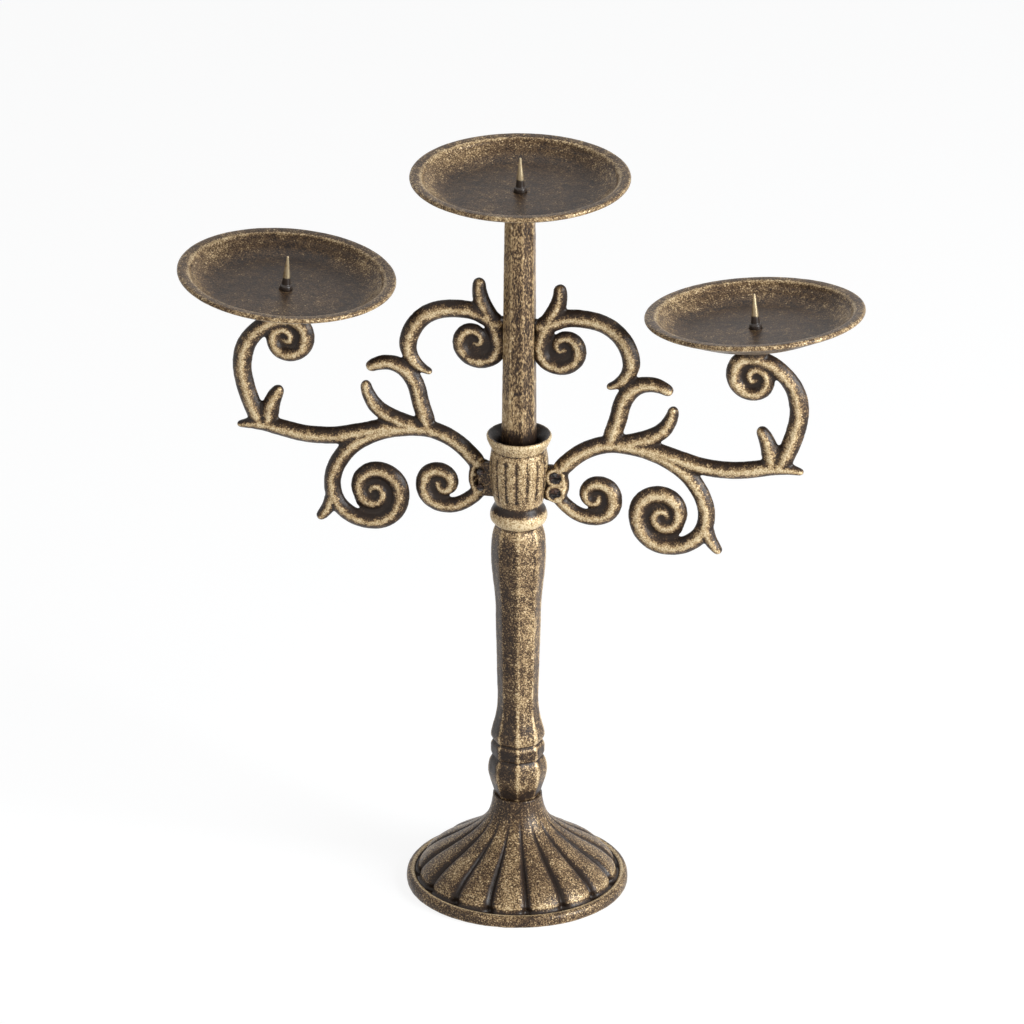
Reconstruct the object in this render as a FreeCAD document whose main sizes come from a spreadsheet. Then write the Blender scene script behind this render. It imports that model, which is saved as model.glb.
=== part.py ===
import FreeCAD, Part
import math
import os
import Sketcher
from FreeCAD import Placement, Rotation, Vector

# Cast iron candlestick with three pricket pans.
# The frame: origin at the centre of the foot's underside, +Z up, the arms along +X and -X.
# All lengths are in millimetres and all angles in degrees.

doc = FreeCAD.newDocument("candlestick")

# Driving dimensions, kept in the spreadsheet
SIZES = {
    # foot
    "foot_radius": 51.4,
    "foot_tall": 45.0,
    "foot_neck_radius": 11.3,
    "foot_wall": 4.6,
    "foot_rim_width": 4.8,
    "foot_rim_thick": 4.6,
    "foot_lobe_tall": 10.4,
    "foot_groove_deep": 3.0,
    "foot_groove_top_deep": 0.9,
    "foot_groove_half_angle": 46.0,
    "foot_turn": 16.9,
    "foot_seat_radius": 9.0,
    "foot_seat_thick": 9.0,
    # stem, radii of the eight-sided part are to the middle of a flat
    "stem_turn": 11.25,
    "stem_bulb_tall": 17.2,
    "stem_bulb_radius": 12.9,
    "stem_foot_radius": 10.6,
    "stem_band_tall": 7.0,
    "stem_band_radius": 11.6,
    "stem_notch_deep": 0.9,
    "stem_flare_tall": 20.5,
    "stem_flare_radius": 11.4,
    "stem_waist_radius": 8.65,
    "stem_shaft_tall": 90.3,
    "stem_swell_radius": 12.0,
    "stem_top_radius": 10.1,
    "bead_tall": 11.0,
    "bead_radius": 13.6,
    "vase_tall": 27.0,
    "vase_foot_radius": 12.2,
    "vase_radius": 13.4,
    "vase_flute_radius": 1.7,
    "vase_flute_deep": 0.8,
    "vase_turn": 6.0,
    "collar_tall": 9.2,
    "collar_radius": 15.4,
    "collar_mouth_radius": 10.5,
    "socket_deep": 11.0,
    "socket_clearance": 0.5,
    "rod_hole_radius": 3.5,
    # post, eight-sided, across the flats
    "post_top_flats": 13.4,
    "post_foot_flats": 15.5,
    "post_tall": 128.3,
    # arms
    "arm_reach": 108.6,
    "scroll_foot_height": 160.0,
    "scroll_tall": 100.0,
    "bar_width": 8.2,
    "bar_thick": 7.0,
    "web_thick": 2.4,
    "arm_gap": 0.05,
    "seat_height": 287.0,
    "seat_radius": 7.5,
    "seat_boss_tall": 13.3,
    "seat_tilt": 4.0,
    "left_seat_lean": -0.5,
    "right_seat_lean": 4.4,
    # lug and ear at each side of the vase
    "ear_radius": 4.5,
    "ear_height": 203.6,
    "ear_thick": 3.5,
    "screw_reach": 17.4,
    "screw_pitch": 7.8,
    "screw_radius": 1.5,
    "screw_head_radius": 2.7,
    "screw_head_tall": 1.3,
    "screw_slot_width": 0.8,
    "screw_recess_deep": 2.0,
    "screw_clearance": 0.15,
    # plain pin that passes through the post into both arms
    "dowel_radius": 1.8,
    "dowel_bite": 7.5,
    "dowel_height": 283.0,
    # pans
    "pan_radius": 50.0,
    "pan_deep": 8.0,
    "pan_thick": 2.2,
    "pan_floor_radius": 36.5,
    "pan_lip_width": 5.2,
    "pan_lip_fall": 0.9,
    "pan_edge_thick": 2.4,
    "pan_hole_radius": 2.1,
    # prickets
    "pricket_tall": 16.5,
    "pricket_radius": 2.1,
    "pricket_tip_radius": 0.45,
    "pricket_collar_radius": 2.8,
    "pricket_collar_tall": 2.4,
    "pricket_seat_deep": 0.7,
    "pricket_stud_radius": 2.0,
    "pricket_stud_long": 9.0,
    "thread_clearance": 0.05,
    # tie rod, nut and washer
    "rod_radius": 3.0,
    "rod_bite": 16.0,
    "rod_tail": 9.0,
    "nut_flats": 10.0,
    "nut_tall": 5.0,
    "washer_radius": 7.0,
    "washer_thick": 1.6,
}
FLUTES = 16
GROOVES = 16
SLABS = 4
POST_SIDES = 8

sheet = doc.addObject("Spreadsheet::Sheet", "sizes")
for row, (alias, value) in enumerate(SIZES.items(), start=1):
    sheet.set(f"A{row}", alias)
    sheet.set(f"B{row}", str(value))
    sheet.setAlias(f"B{row}", alias)
doc.recompute()


class Size:
    """A size that carries its value and the spreadsheet expression that gives it."""

    def __init__(self, value, text):
        self.value = float(value)
        self.text = text

    def __float__(self):
        return self.value

    def joined(self, sign, other, value, swapped=False):
        texts = [self.text, other.text if isinstance(other, Size) else repr(float(other))]
        if swapped:
            texts.reverse()
        return Size(value, f"({texts[0]} {sign} {texts[1]})")

    def __add__(self, other):
        return self.joined("+", other, self.value + float(other))

    def __sub__(self, other):
        return self.joined("-", other, self.value - float(other))

    def __mul__(self, other):
        return self.joined("*", other, self.value * float(other))

    def __truediv__(self, other):
        return self.joined("/", other, self.value / float(other))

    def __radd__(self, other):
        return self.joined("+", other, float(other) + self.value, swapped=True)

    def __rsub__(self, other):
        return self.joined("-", other, float(other) - self.value, swapped=True)

    def __rmul__(self, other):
        return self.joined("*", other, float(other) * self.value, swapped=True)

    def __neg__(self):
        return self.joined("*", -1, -self.value)


def size(alias):
    return Size(sheet.get(alias), f"sizes.{alias}")


def bind(thing, **properties):
    for name, value in properties.items():
        thing.setExpression(name, value.text)


def origin_plane(body, role):
    return next(part for part in body.Origin.OriginFeatures if part.Role == role)


def new_body(label):
    body = doc.addObject("PartDesign::Body", label)
    body.Label = label
    return body


def body_sketch(body, name, role="XZ_Plane"):
    sketch = body.newObject("Sketcher::SketchObject", name)
    sketch.AttachmentSupport = [(origin_plane(body, role), "")]
    sketch.MapMode = "FlatFace"
    return sketch


def pin_point(sketch, geometry, end, x, y):
    """Hold one point of the sketch at the sizes x and y."""
    for kind, value, axis in (("DistanceX", x, -2), ("DistanceY", y, -1)):
        if abs(float(value)) < 1e-9:
            sketch.addConstraint(Sketcher.Constraint("PointOnObject", geometry, end, axis))
            continue
        index = sketch.addConstraint(Sketcher.Constraint(kind, geometry, end, float(value)))
        if isinstance(value, Size):
            sketch.setExpression(f"Constraints[{index}]", value.text)


def draw_outline(sketch, corners):
    """Close a path through corners (x, y). A corner with a third entry is the middle of an arc."""
    count = len(corners)
    spans = []
    for i, corner in enumerate(corners):
        if len(corner) == 3:
            continue
        following = corners[(i + 1) % count]
        middle = following if len(following) == 3 else None
        target = corners[(i + 2) % count] if middle else following
        spans.append((corner, middle, target))
    edges = []
    for start, middle, finish in spans:
        a = Vector(float(start[0]), float(start[1]), 0)
        b = Vector(float(finish[0]), float(finish[1]), 0)
        if middle is None:
            edge = sketch.addGeometry(Part.LineSegment(a, b), False)
            edges.append((edge, 1, 2))
            continue
        m = Vector(float(middle[0]), float(middle[1]), 0)
        edge = sketch.addGeometry(Part.Arc(a, m, b), False)
        forward = sketch.getPoint(edge, 1).distanceToPoint(a) < sketch.getPoint(edge, 2).distanceToPoint(a)
        edges.append((edge, 1, 2) if forward else (edge, 2, 1))
        point = sketch.addGeometry(Part.Point(m), True)
        sketch.addConstraint(Sketcher.Constraint("PointOnObject", point, 1, edge))
        pin_point(sketch, point, 1, middle[0], middle[1])
    for i, (edge, first, last) in enumerate(edges):
        after, after_first, _ = edges[(i + 1) % len(edges)]
        sketch.addConstraint(Sketcher.Constraint("Coincident", edge, last, after, after_first))
        pin_point(sketch, edge, first, spans[i][0][0], spans[i][0][1])


def draw_circle(sketch, radius, x=0.0, y=0.0):
    centre = Vector(float(x), float(y), 0)
    edge = sketch.addGeometry(Part.Circle(centre, Vector(0, 0, 1), float(radius)), False)
    pin_point(sketch, edge, 3, x, y)
    index = sketch.addConstraint(Sketcher.Constraint("Radius", edge, float(radius)))
    sketch.setExpression(f"Constraints[{index}]", radius.text)


def revolve(body, sketch):
    """Turn the sketch all the way round its own vertical axis."""
    feature = body.newObject("PartDesign::Revolution", f"{body.Name}_turned")
    feature.Profile = sketch
    feature.ReferenceAxis = (sketch, ["V_Axis"])
    feature.Angle = 360.0
    body.Tip = feature
    doc.recompute()
    return feature


def turned_body(label, corners):
    body = new_body(label)
    sketch = body_sketch(body, f"{label}_outline")
    draw_outline(sketch, corners)
    revolve(body, sketch)
    return body


def cylinder(name, radius, tall):
    """A plain cylinder whose two sizes are bound to the sheet."""
    shape = doc.addObject("Part::Cylinder", name)
    bind(shape, Radius=radius, Height=tall)
    return shape


def at(x, y, z):
    return Vector(float(x), float(y), float(z))


# Heights that the pieces share
foot_tall = size("foot_tall")
bulb_top = foot_tall + size("stem_bulb_tall")
band_top = bulb_top + size("stem_band_tall")
flare_top = band_top + size("stem_flare_tall")
shaft_top = flare_top + size("stem_shaft_tall")
bead_top = shaft_top + size("bead_tall")
vase_top = bead_top + size("vase_tall")
collar_top = vase_top + size("collar_tall")
socket_floor = collar_top - size("socket_deep")
post_top = socket_floor + size("post_tall")
pan_rise = size("pan_thick") + size("pan_deep")


# The foot: a hollow bell with sixteen rounded lobes, a plain rim and a flat seat inside its neck
foot_radius = size("foot_radius")
foot_wall = size("foot_wall")
rim_inner = foot_radius - size("foot_rim_width")
rim_thick = size("foot_rim_thick")
neck = size("foot_neck_radius")
lobe_tall = size("foot_lobe_tall")
lobe_end = rim_inner - 0.15 * size("foot_rim_width")
lobe_crest = rim_inner - 0.3 * lobe_tall
slope_radius = neck + 0.4 * (lobe_crest - neck)
slope_height = lobe_tall + 0.39 * (foot_tall - lobe_tall)
neck_bend_radius = neck + 0.085 * (lobe_crest - neck)
neck_bend_height = lobe_tall + 0.66 * (foot_tall - lobe_tall)
crest_radius = neck + 0.755 * (lobe_crest - neck)
crest_height = lobe_tall + 0.185 * (foot_tall - lobe_tall)
seat_height = foot_tall - size("foot_seat_thick")
seat_radius = size("foot_seat_radius")

foot = new_body("foot")
foot_outline = body_sketch(foot, "foot_outline")
draw_outline(foot_outline, [
    (lobe_end, 0.0),
    (foot_radius - 0.2 * rim_thick, 0.0),
    (foot_radius, 0.25 * rim_thick),
    (foot_radius, 0.5 * rim_thick),
    (foot_radius - 0.15 * rim_thick, 0.86 * rim_thick, "arc"),
    (foot_radius - 0.6 * rim_thick, rim_thick),
    (rim_inner, 0.86 * rim_thick),
    (lobe_end, rim_thick),
    (lobe_end - 0.12 * lobe_tall, 0.78 * lobe_tall, "arc"),
    (lobe_crest, lobe_tall),
    (crest_radius, crest_height, "arc"),
    (slope_radius, slope_height),
    (neck_bend_radius, neck_bend_height, "arc"),
    (neck, foot_tall),
    (size("rod_hole_radius"), foot_tall),
    (size("rod_hole_radius"), seat_height),
    (seat_radius, seat_height),
    (slope_radius - 0.6 * foot_wall, slope_height - 1.35 * foot_wall),
    (lobe_crest - 0.55 * foot_wall, lobe_tall - foot_wall - 0.4 * size("foot_groove_deep")),
])
revolve(foot, foot_outline)

# One groove runs between two lobes, shallow at the neck and deep at the rim
groove_deep = size("foot_groove_deep")
groove_shallow = size("foot_groove_top_deep")
groove_mouth = 2.6 * groove_deep
foot_path = body_sketch(foot, "foot_groove_path")
path_points = [
    (neck - groove_shallow, foot_tall + groove_shallow),
    (neck - groove_shallow, foot_tall - groove_shallow),
    (neck_bend_radius - groove_shallow, neck_bend_height - 0.5 * groove_shallow),
    (slope_radius - 0.55 * groove_deep, slope_height - 0.62 * groove_deep),
    (crest_radius - 0.5 * groove_deep, crest_height - 0.85 * groove_deep),
    (lobe_crest - 0.4 * groove_deep, lobe_tall - 0.9 * groove_deep),
    (rim_inner, 0.9 * rim_thick),
]
path_curve = Part.BSplineCurve()
path_curve.interpolate([at(x, y, 0) for x, y in path_points])
foot_path.addGeometry(path_curve, False)
foot_section = body_sketch(foot, "foot_groove_section", "XY_Plane")
foot_section.AttachmentOffset = Placement(at(0, 0, foot_tall + groove_shallow), Rotation())
bind(foot_section, **{".AttachmentOffset.Base.z": foot_tall + groove_shallow})
groove_half = groove_mouth * math.tan(math.radians(float(size("foot_groove_half_angle"))))
draw_outline(foot_section, [
    (neck - groove_shallow, 0.0),
    (neck - groove_shallow + groove_mouth, groove_half),
    (neck - groove_shallow + groove_mouth, -groove_half),
])
doc.recompute()
solid_volume = foot.Shape.Volume
groove = foot.newObject("PartDesign::SubtractivePipe", "foot_groove")
groove.Profile = foot_section
groove.Spine = foot_path
body_axis = next(part for part in foot.Origin.OriginFeatures if part.Role == "Z_Axis")
foot.Tip = groove
doc.recompute()
print("foot groove cuts", round(solid_volume - foot.Shape.Volume, 1))
grooves = foot.newObject("PartDesign::PolarPattern", "foot_grooves")
grooves.Originals = [groove]
grooves.Axis = (body_axis, [""])
grooves.Angle = 360.0
grooves.Occurrences = GROOVES
foot.Tip = grooves
doc.recompute()
print("all foot grooves cut", round(solid_volume - foot.Shape.Volume, 1))
foot.Placement = Placement(Vector(), Rotation(Vector(0, 0, 1), float(size("foot_turn")) - 90.0))


# The stem: an eight-sided baluster below, a round bead, fluted vase and dished collar above
def slab_sketch():
    """The baluster's outline, from flat to flat, as seen square to one pair of its sides."""
    sketch = doc.addObject("Sketcher::SketchObject", "stem_slab_outline")
    sketch.Placement = Placement(Vector(), Rotation(Vector(1, 0, 0), 90))
    notch = size("stem_notch_deep")
    foot_r = size("stem_foot_radius")
    bulb_r = size("stem_bulb_radius")
    band_r = size("stem_band_radius")
    flare_r = size("stem_flare_radius")
    waist_r = size("stem_waist_radius")
    swell_r = size("stem_swell_radius")
    bulb = size("stem_bulb_tall")
    flare = size("stem_flare_tall")
    shaft = size("stem_shaft_tall")
    side = [
        (foot_r, foot_tall),
        (bulb_r, foot_tall + 0.7 * bulb, "arc"),
        (band_r - notch, bulb_top - notch),
        (band_r - notch, bulb_top),
        (band_r, bulb_top + notch),
        (band_r, band_top - notch),
        (band_r - notch, band_top),
        (flare_r, band_top + 0.11 * flare),
        (flare_r - 0.1 * notch, band_top + 0.36 * flare, "arc"),
        (waist_r + 0.35 * (flare_r - waist_r), band_top + 0.62 * flare),
        (waist_r + 0.06 * (flare_r - waist_r), band_top + 0.82 * flare, "arc"),
        (waist_r, flare_top),
        (waist_r + 0.25 * (swell_r - waist_r), flare_top + 0.42 * shaft, "arc"),
        (swell_r - 0.4 * (swell_r - size("stem_top_radius")), flare_top + 0.7 * shaft),
        (swell_r, flare_top + 0.86 * shaft, "arc"),
        (size("stem_top_radius"), shaft_top),
    ]
    mirrored = [(-entry[0], *entry[1:]) for entry in reversed(side)]
    draw_outline(sketch, side + mirrored)
    return sketch


stem_outline = slab_sketch()
slabs = []
for index in range(SLABS):
    slab = doc.addObject("Part::Extrusion", f"stem_slab_{index + 1}")
    slab.Base = stem_outline
    slab.DirMode = "Custom"
    slab.Dir = Vector(0, 1, 0)
    slab.Symmetric = True
    slab.Solid = True
    bind(slab, LengthFwd=4.0 * size("stem_bulb_radius"))
    turn = float(size("stem_turn")) + 22.5 + index * 180.0 / SLABS
    slab.Placement = Placement(Vector(), Rotation(Vector(0, 0, 1), turn))
    slabs.append(slab)
baluster = doc.addObject("Part::MultiCommon", "stem_baluster")
baluster.Shapes = slabs

bead_r = size("bead_radius")
vase_r = size("vase_radius")
vase_foot_r = size("vase_foot_radius")
collar_r = size("collar_radius")
mouth_r = size("collar_mouth_radius")
socket_r = 0.5 * size("post_foot_flats") / math.cos(math.pi / POST_SIDES) + size("socket_clearance")
stem_head_outline = doc.addObject("Sketcher::SketchObject", "stem_head_outline")
stem_head_outline.Placement = Placement(Vector(), Rotation(Vector(1, 0, 0), 90))
draw_outline(stem_head_outline, [
    (0.0, shaft_top),
    (size("stem_top_radius") * 1.08, shaft_top),
    (bead_r, shaft_top + 0.55 * size("bead_tall"), "arc"),
    (vase_foot_r, bead_top),
    (vase_r, bead_top + 0.62 * size("vase_tall"), "arc"),
    (vase_foot_r, vase_top),
    (collar_r, vase_top + 0.58 * size("collar_tall"), "arc"),
    (0.5 * (collar_r + mouth_r), collar_top),
    (mouth_r, collar_top - 0.08 * size("collar_tall")),
    (socket_r, collar_top - 0.5 * size("socket_deep")),
    (socket_r, socket_floor),
    (0.0, socket_floor),
])
stem_head = doc.addObject("Part::Revolution", "stem_head")
stem_head.Source = stem_head_outline
stem_head.Axis = Vector(0, 0, 1)
stem_head.Angle = 360.0
stem_head.Solid = True

flutes = []
flute_r = size("vase_flute_radius")
flute_run = size("vase_tall") * 0.86
flute_path_radius = vase_r + flute_r - size("vase_flute_deep")
for index in range(FLUTES):
    flute = cylinder(f"vase_flute_{index + 1}", flute_r, flute_run)
    angle = math.radians(float(size("vase_turn")) - 90.0 + index * 360.0 / FLUTES)
    flute.Placement = Placement(at(
        float(flute_path_radius) * math.cos(angle),
        float(flute_path_radius) * math.sin(angle),
        bead_top + 0.1 * size("vase_tall"),
    ), Rotation())
    flutes.append(flute)
all_flutes = doc.addObject("Part::MultiFuse", "vase_flutes")
all_flutes.Shapes = flutes
fluted_head = doc.addObject("Part::Cut", "stem_fluted_head")
fluted_head.Base = stem_head
fluted_head.Tool = all_flutes

# An ear stands out at each side of the vase: behind the right arm's lug and in front of the left arm's.
# The arms are one casting turned by half a turn, so their screws enter from opposite faces.
screw_reach = size("screw_reach")
ear_r = size("ear_radius")
screw_places = [
    (side * screw_reach, size("ear_height") + level * size("screw_pitch"))
    for side in (1, -1)
    for level in (0.5, -0.5)
]
ears = []
for side, name in ((1, "right"), (-1, "left")):
    ear = doc.addObject("Part::Box", f"stem_{name}_ear")
    ear_tall = size("screw_pitch") + 1.8 * ear_r
    bind(ear, Length=screw_reach - 0.6 * vase_foot_r, Width=size("ear_thick"), Height=ear_tall)
    low_x = 0.6 * vase_foot_r if side > 0 else -screw_reach
    front_y = 0 if side > 0 else -size("ear_thick")
    ear.Placement = Placement(at(low_x, front_y, size("ear_height") - 0.5 * ear_tall), Rotation())
    ears.append(ear)
for index, (x, z) in enumerate(screw_places, start=1):
    ear_end = cylinder(f"stem_ear_end_{index}", ear_r, size("ear_thick"))
    ear_end.Placement = Placement(at(x, 0, z), Rotation(Vector(1, 0, 0), -90 if float(x) > 0 else 90))
    ears.append(ear_end)
stem_blank = doc.addObject("Part::MultiFuse", "stem_blank")
stem_blank.Shapes = [baluster, fluted_head, *ears]

rod_hole = cylinder("stem_rod_hole", size("rod_hole_radius"), collar_top)
stem_holes = [rod_hole]
socket_drill = cylinder("stem_socket", socket_r, size("socket_deep"))
socket_drill.Placement = Placement(at(0, 0, socket_floor), Rotation())
stem_holes.append(socket_drill)
for index, (x, z) in enumerate(screw_places, start=1):
    hole_r = size("screw_radius") + size("thread_clearance")
    hole = cylinder(f"stem_screw_hole_{index}", hole_r, 3.0 * size("ear_thick"))
    hole.Placement = Placement(at(x, -1.5 * size("ear_thick"), z), Rotation(Vector(1, 0, 0), -90))
    stem_holes.append(hole)
stem_drill = doc.addObject("Part::MultiFuse", "stem_drill")
stem_drill.Shapes = stem_holes
stem = doc.addObject("Part::Cut", "stem")
stem.Base = stem_blank
stem.Tool = stem_drill


# The post: an eight-sided bar that tapers upwards, with a threaded hole in each end and a cross hole
def octagon_points(flats):
    corner = 0.5 * flats / math.cos(math.pi / POST_SIDES)
    places = []
    for index in range(POST_SIDES):
        angle = (index + 0.5) * 2 * math.pi / POST_SIDES
        places.append((corner * math.cos(angle), corner * math.sin(angle)))
    return places


post = new_body("post")
post_sections = []
for name, flats, height in (
    ("post_foot_section", size("post_foot_flats"), socket_floor),
    ("post_top_section", size("post_top_flats"), post_top),
):
    section = body_sketch(post, name, "XY_Plane")
    section.AttachmentOffset = Placement(at(0, 0, height), Rotation())
    bind(section, **{".AttachmentOffset.Base.z": height})
    draw_outline(section, octagon_points(flats))
    post_sections.append(section)
post_bar = post.newObject("PartDesign::AdditiveLoft", "post_bar")
post_bar.Profile = post_sections[0]
post_bar.Sections = post_sections[1:]
post_bar.Ruled = True
post.Tip = post_bar
doc.recompute()


def bored(body, name, role, radius, start, deep):
    """Cut a round hole along an origin plane's normal from start, and check that it cut."""
    sketch = body_sketch(body, f"{name}_circle", role)
    sketch.AttachmentOffset = Placement(at(0, 0, start), Rotation())
    bind(sketch, **{".AttachmentOffset.Base.z": start})
    draw_circle(sketch, radius)
    doc.recompute()
    before = body.Shape.Volume
    pocket = body.newObject("PartDesign::Pocket", name)
    pocket.Profile = sketch
    bind(pocket, Length=deep)
    body.Tip = pocket
    doc.recompute()
    print(name, "cuts", round(before - body.Shape.Volume, 1))
    return pocket


post_foot_half = 0.5 * size("post_foot_flats")
post_top_half = 0.5 * size("post_top_flats")
tapped = size("pricket_stud_radius") + size("thread_clearance")
bored(post, "post_top_hole", "XY_Plane", tapped, post_top, 1.35 * size("pricket_stud_long"))
rod_tapped = size("rod_radius") + size("thread_clearance")
rod_room = 1.2 * size("rod_bite")
bored(post, "post_foot_hole", "XY_Plane", rod_tapped, socket_floor + rod_room, rod_room)
dowel_hole = size("dowel_radius") + size("thread_clearance")
cross_sketch = body_sketch(post, "post_cross_circle", "YZ_Plane")
draw_circle(cross_sketch, dowel_hole, 0.0, size("dowel_height"))
doc.recompute()
post_volume = post.Shape.Volume
cross_hole = post.newObject("PartDesign::Pocket", "post_cross_hole")
cross_hole.Profile = cross_sketch
cross_hole.Midplane = True
bind(cross_hole, Length=2.0 * size("post_foot_flats"))
post.Tip = cross_hole
doc.recompute()
print("post cross hole cuts", round(post_volume - post.Shape.Volume, 1))


# The arms: flat scrollwork in the XZ plane, each bar ridged along its middle.
# A point's first share is of the arm's reach, its second of the scroll's height.
# Shares of one bar are its middle line, from its root to its tip.
# Then come the bar's widths as shares of the full width, and how many stations it is lofted through.
BARS_SHARES = {
    "root_and_big_volute": (
        [
            (0.161, 0.486), (0.207, 0.546), (0.279, 0.612), (0.330, 0.640), (0.385, 0.656), (0.449, 0.657),
            (0.513, 0.648), (0.578, 0.629), (0.633, 0.603), (0.685, 0.569), (0.728, 0.528), (0.763, 0.477),
            (0.789, 0.420), (0.801, 0.366), (0.800, 0.311), (0.784, 0.259), (0.754, 0.218), (0.712, 0.188),
            (0.661, 0.173), (0.606, 0.175), (0.556, 0.202), (0.522, 0.249), (0.510, 0.308), (0.518, 0.366),
            (0.549, 0.408), (0.593, 0.427), (0.643, 0.419), (0.681, 0.388), (0.696, 0.345), (0.683, 0.303),
            (0.647, 0.282), (0.611, 0.292),
        ],
        [1.0, 1.0, 1.0, 1.0, 1.0, 0.95, 0.85, 0.9, 0.88, 0.62, 0.44, 0.38], 58,
    ),
    "small_volute": (
        [
            (0.153, 0.395), (0.179, 0.358), (0.210, 0.326), (0.249, 0.298), (0.296, 0.283), (0.343, 0.287),
            (0.384, 0.312), (0.404, 0.353), (0.404, 0.402), (0.387, 0.436), (0.357, 0.453), (0.325, 0.452),
            (0.299, 0.433), (0.288, 0.402), (0.296, 0.372), (0.318, 0.359), (0.340, 0.370), (0.347, 0.392),
        ],
        [0.78, 0.78, 0.8, 0.78, 0.72, 0.52, 0.38, 0.34], 34,
    ),
    "horn_and_top_volute": (
        [
            (0.168, 1.416), (0.171, 1.367), (0.160, 1.312), (0.134, 1.255), (0.109, 1.198), (0.092, 1.142),
            (0.091, 1.092), (0.108, 1.050), (0.144, 1.026), (0.187, 1.022), (0.225, 1.042), (0.249, 1.081),
            (0.250, 1.122), (0.233, 1.155), (0.203, 1.169), (0.174, 1.158), (0.161, 1.131), (0.171, 1.107),
            (0.191, 1.108),
        ],
        [0.62, 0.82, 0.95, 0.95, 0.9, 0.8, 0.66, 0.5, 0.38, 0.34], 40,
    ),
    "hook_and_outer_volute": (
        [
            (1.113, 0.620), (1.133, 0.672), (1.153, 0.724), (1.169, 0.776), (1.181, 0.827), (1.188, 0.877),
            (1.187, 0.927), (1.179, 0.975), (1.160, 1.023), (1.130, 1.066), (1.095, 1.102), (1.052, 1.130),
            (1.006, 1.144), (0.961, 1.140), (0.929, 1.115), (0.914, 1.073), (0.919, 1.025), (0.947, 0.987),
            (0.992, 0.972), (1.031, 0.988), (1.051, 1.025), (1.050, 1.067),
        ],
        [1.05, 1.05, 1.05, 1.08, 1.0, 0.82, 0.75, 0.66, 0.5, 0.38, 0.34], 44,
    ),
    "up_bar": (
        [
            (0.389, 0.665), (0.410, 0.743), (0.426, 0.805), (0.438, 0.861), (0.459, 0.908), (0.492, 0.947),
            (0.534, 0.968), (0.577, 0.970), (0.619, 0.955), (0.654, 0.932),
        ],
        [1.05, 1.0, 1.0, 1.0, 0.9, 0.7, 0.4], 16,
    ),
    "arc": (
        [
            (0.369, 0.938), (0.407, 0.954), (0.441, 0.980), (0.466, 1.020), (0.476, 1.068), (0.466, 1.122),
            (0.442, 1.174), (0.404, 1.219), (0.356, 1.249), (0.305, 1.263), (0.250, 1.267), (0.195, 1.261),
            (0.153, 1.244), (0.102, 1.219), (0.065, 1.212),
        ],
        [0.35, 0.75, 1.0, 1.03, 1.03, 1.03, 1.03, 1.05, 1.05], 22,
    ),
    "centre_thorn": (
        [
            (0.652, 0.874), (0.655, 0.845), (0.643, 0.800), (0.614, 0.750), (0.568, 0.713), (0.513, 0.687),
            (0.449, 0.668), (0.395, 0.654),
        ],
        [0.46, 0.64, 0.8, 0.92, 0.98, 0.98, 0.85], 14,
    ),
    "outer_bar": (
        [
            (0.535, 0.652), (0.586, 0.645), (0.641, 0.626), (0.706, 0.606), (0.770, 0.588), (0.834, 0.580),
            (0.897, 0.579), (0.961, 0.586), (1.024, 0.600), (1.088, 0.611), (1.143, 0.611), (1.185, 0.603),
            (1.215, 0.597),
        ],
        [0.85, 1.0, 1.0, 1.0, 1.0, 1.0, 0.98, 0.8, 0.34], 18,
    ),
    "inner_thorn": (
        [(1.020, 0.809), (1.042, 0.769), (1.060, 0.724), (1.071, 0.675), (1.079, 0.627)],
        [0.5, 0.68, 0.85, 1.05, 1.1], 8,
    ),
    "lower_thorn": (
        [(0.866, 0.157), (0.832, 0.201), (0.808, 0.251), (0.797, 0.300)],
        [0.42, 0.62, 0.82, 0.9], 8,
    ),
}
# A thin web closes each volute's grooves behind: its centre and its radius
WEB_SHARES = [
    ((0.605, 0.303), 0.118), ((0.350, 0.368), 0.070), ((0.176, 1.095), 0.074), ((0.983, 1.057), 0.076),
]

reach = float(size("arm_reach"))
scroll_foot = float(size("scroll_foot_height"))
scroll_tall = float(size("scroll_tall"))
bar_width = float(size("bar_width"))
bar_thick = float(size("bar_thick"))


def arm_point(shares):
    return Vector(shares[0] * reach, 0, scroll_foot + shares[1] * scroll_tall)


def ridged_section(centre, along, width, thick):
    """An eight-sided ring, ridged front and back, square to the bar's direction."""
    across = Vector(-along.z, 0, along.x)
    deep = Vector(0, 1, 0)
    ring_shares = [(1.0, 0.16), (0.62, 0.66), (0.16, 1.0), (-0.16, 1.0), (-0.62, 0.66), (-1.0, 0.16)]
    ring_shares += [(-a, -b) for a, b in ring_shares]
    corners = [centre + across * (0.5 * width * a) + deep * (0.5 * thick * b) for a, b in ring_shares]
    return Part.makePolygon(corners + corners[:1])


def bar(points, widths, stations):
    """Loft the ridged section along a smooth curve; the width runs evenly through the widths."""
    curve = Part.BSplineCurve()
    curve.interpolate(points)
    long = curve.length()
    rings = []
    for index in range(stations + 1):
        share = index / stations
        place = curve.parameterAtDistance(share * long, curve.FirstParameter)
        along = curve.tangent(place)[0]
        slot = share * (len(widths) - 1)
        low = min(int(slot), len(widths) - 2)
        width = widths[low] + (slot - low) * (widths[low + 1] - widths[low])
        thick = bar_thick * min(1.0, (width / bar_width) ** 0.6)
        rings.append(ridged_section(curve.value(place), along, width, thick))
    return Part.makeLoft(rings, True, False)


def disc(centre, radius, thick):
    """A round plate square to the Y axis."""
    return Part.makeCylinder(radius, thick, centre - Vector(0, 0.5 * thick, 0), Vector(0, 1, 0))


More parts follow.
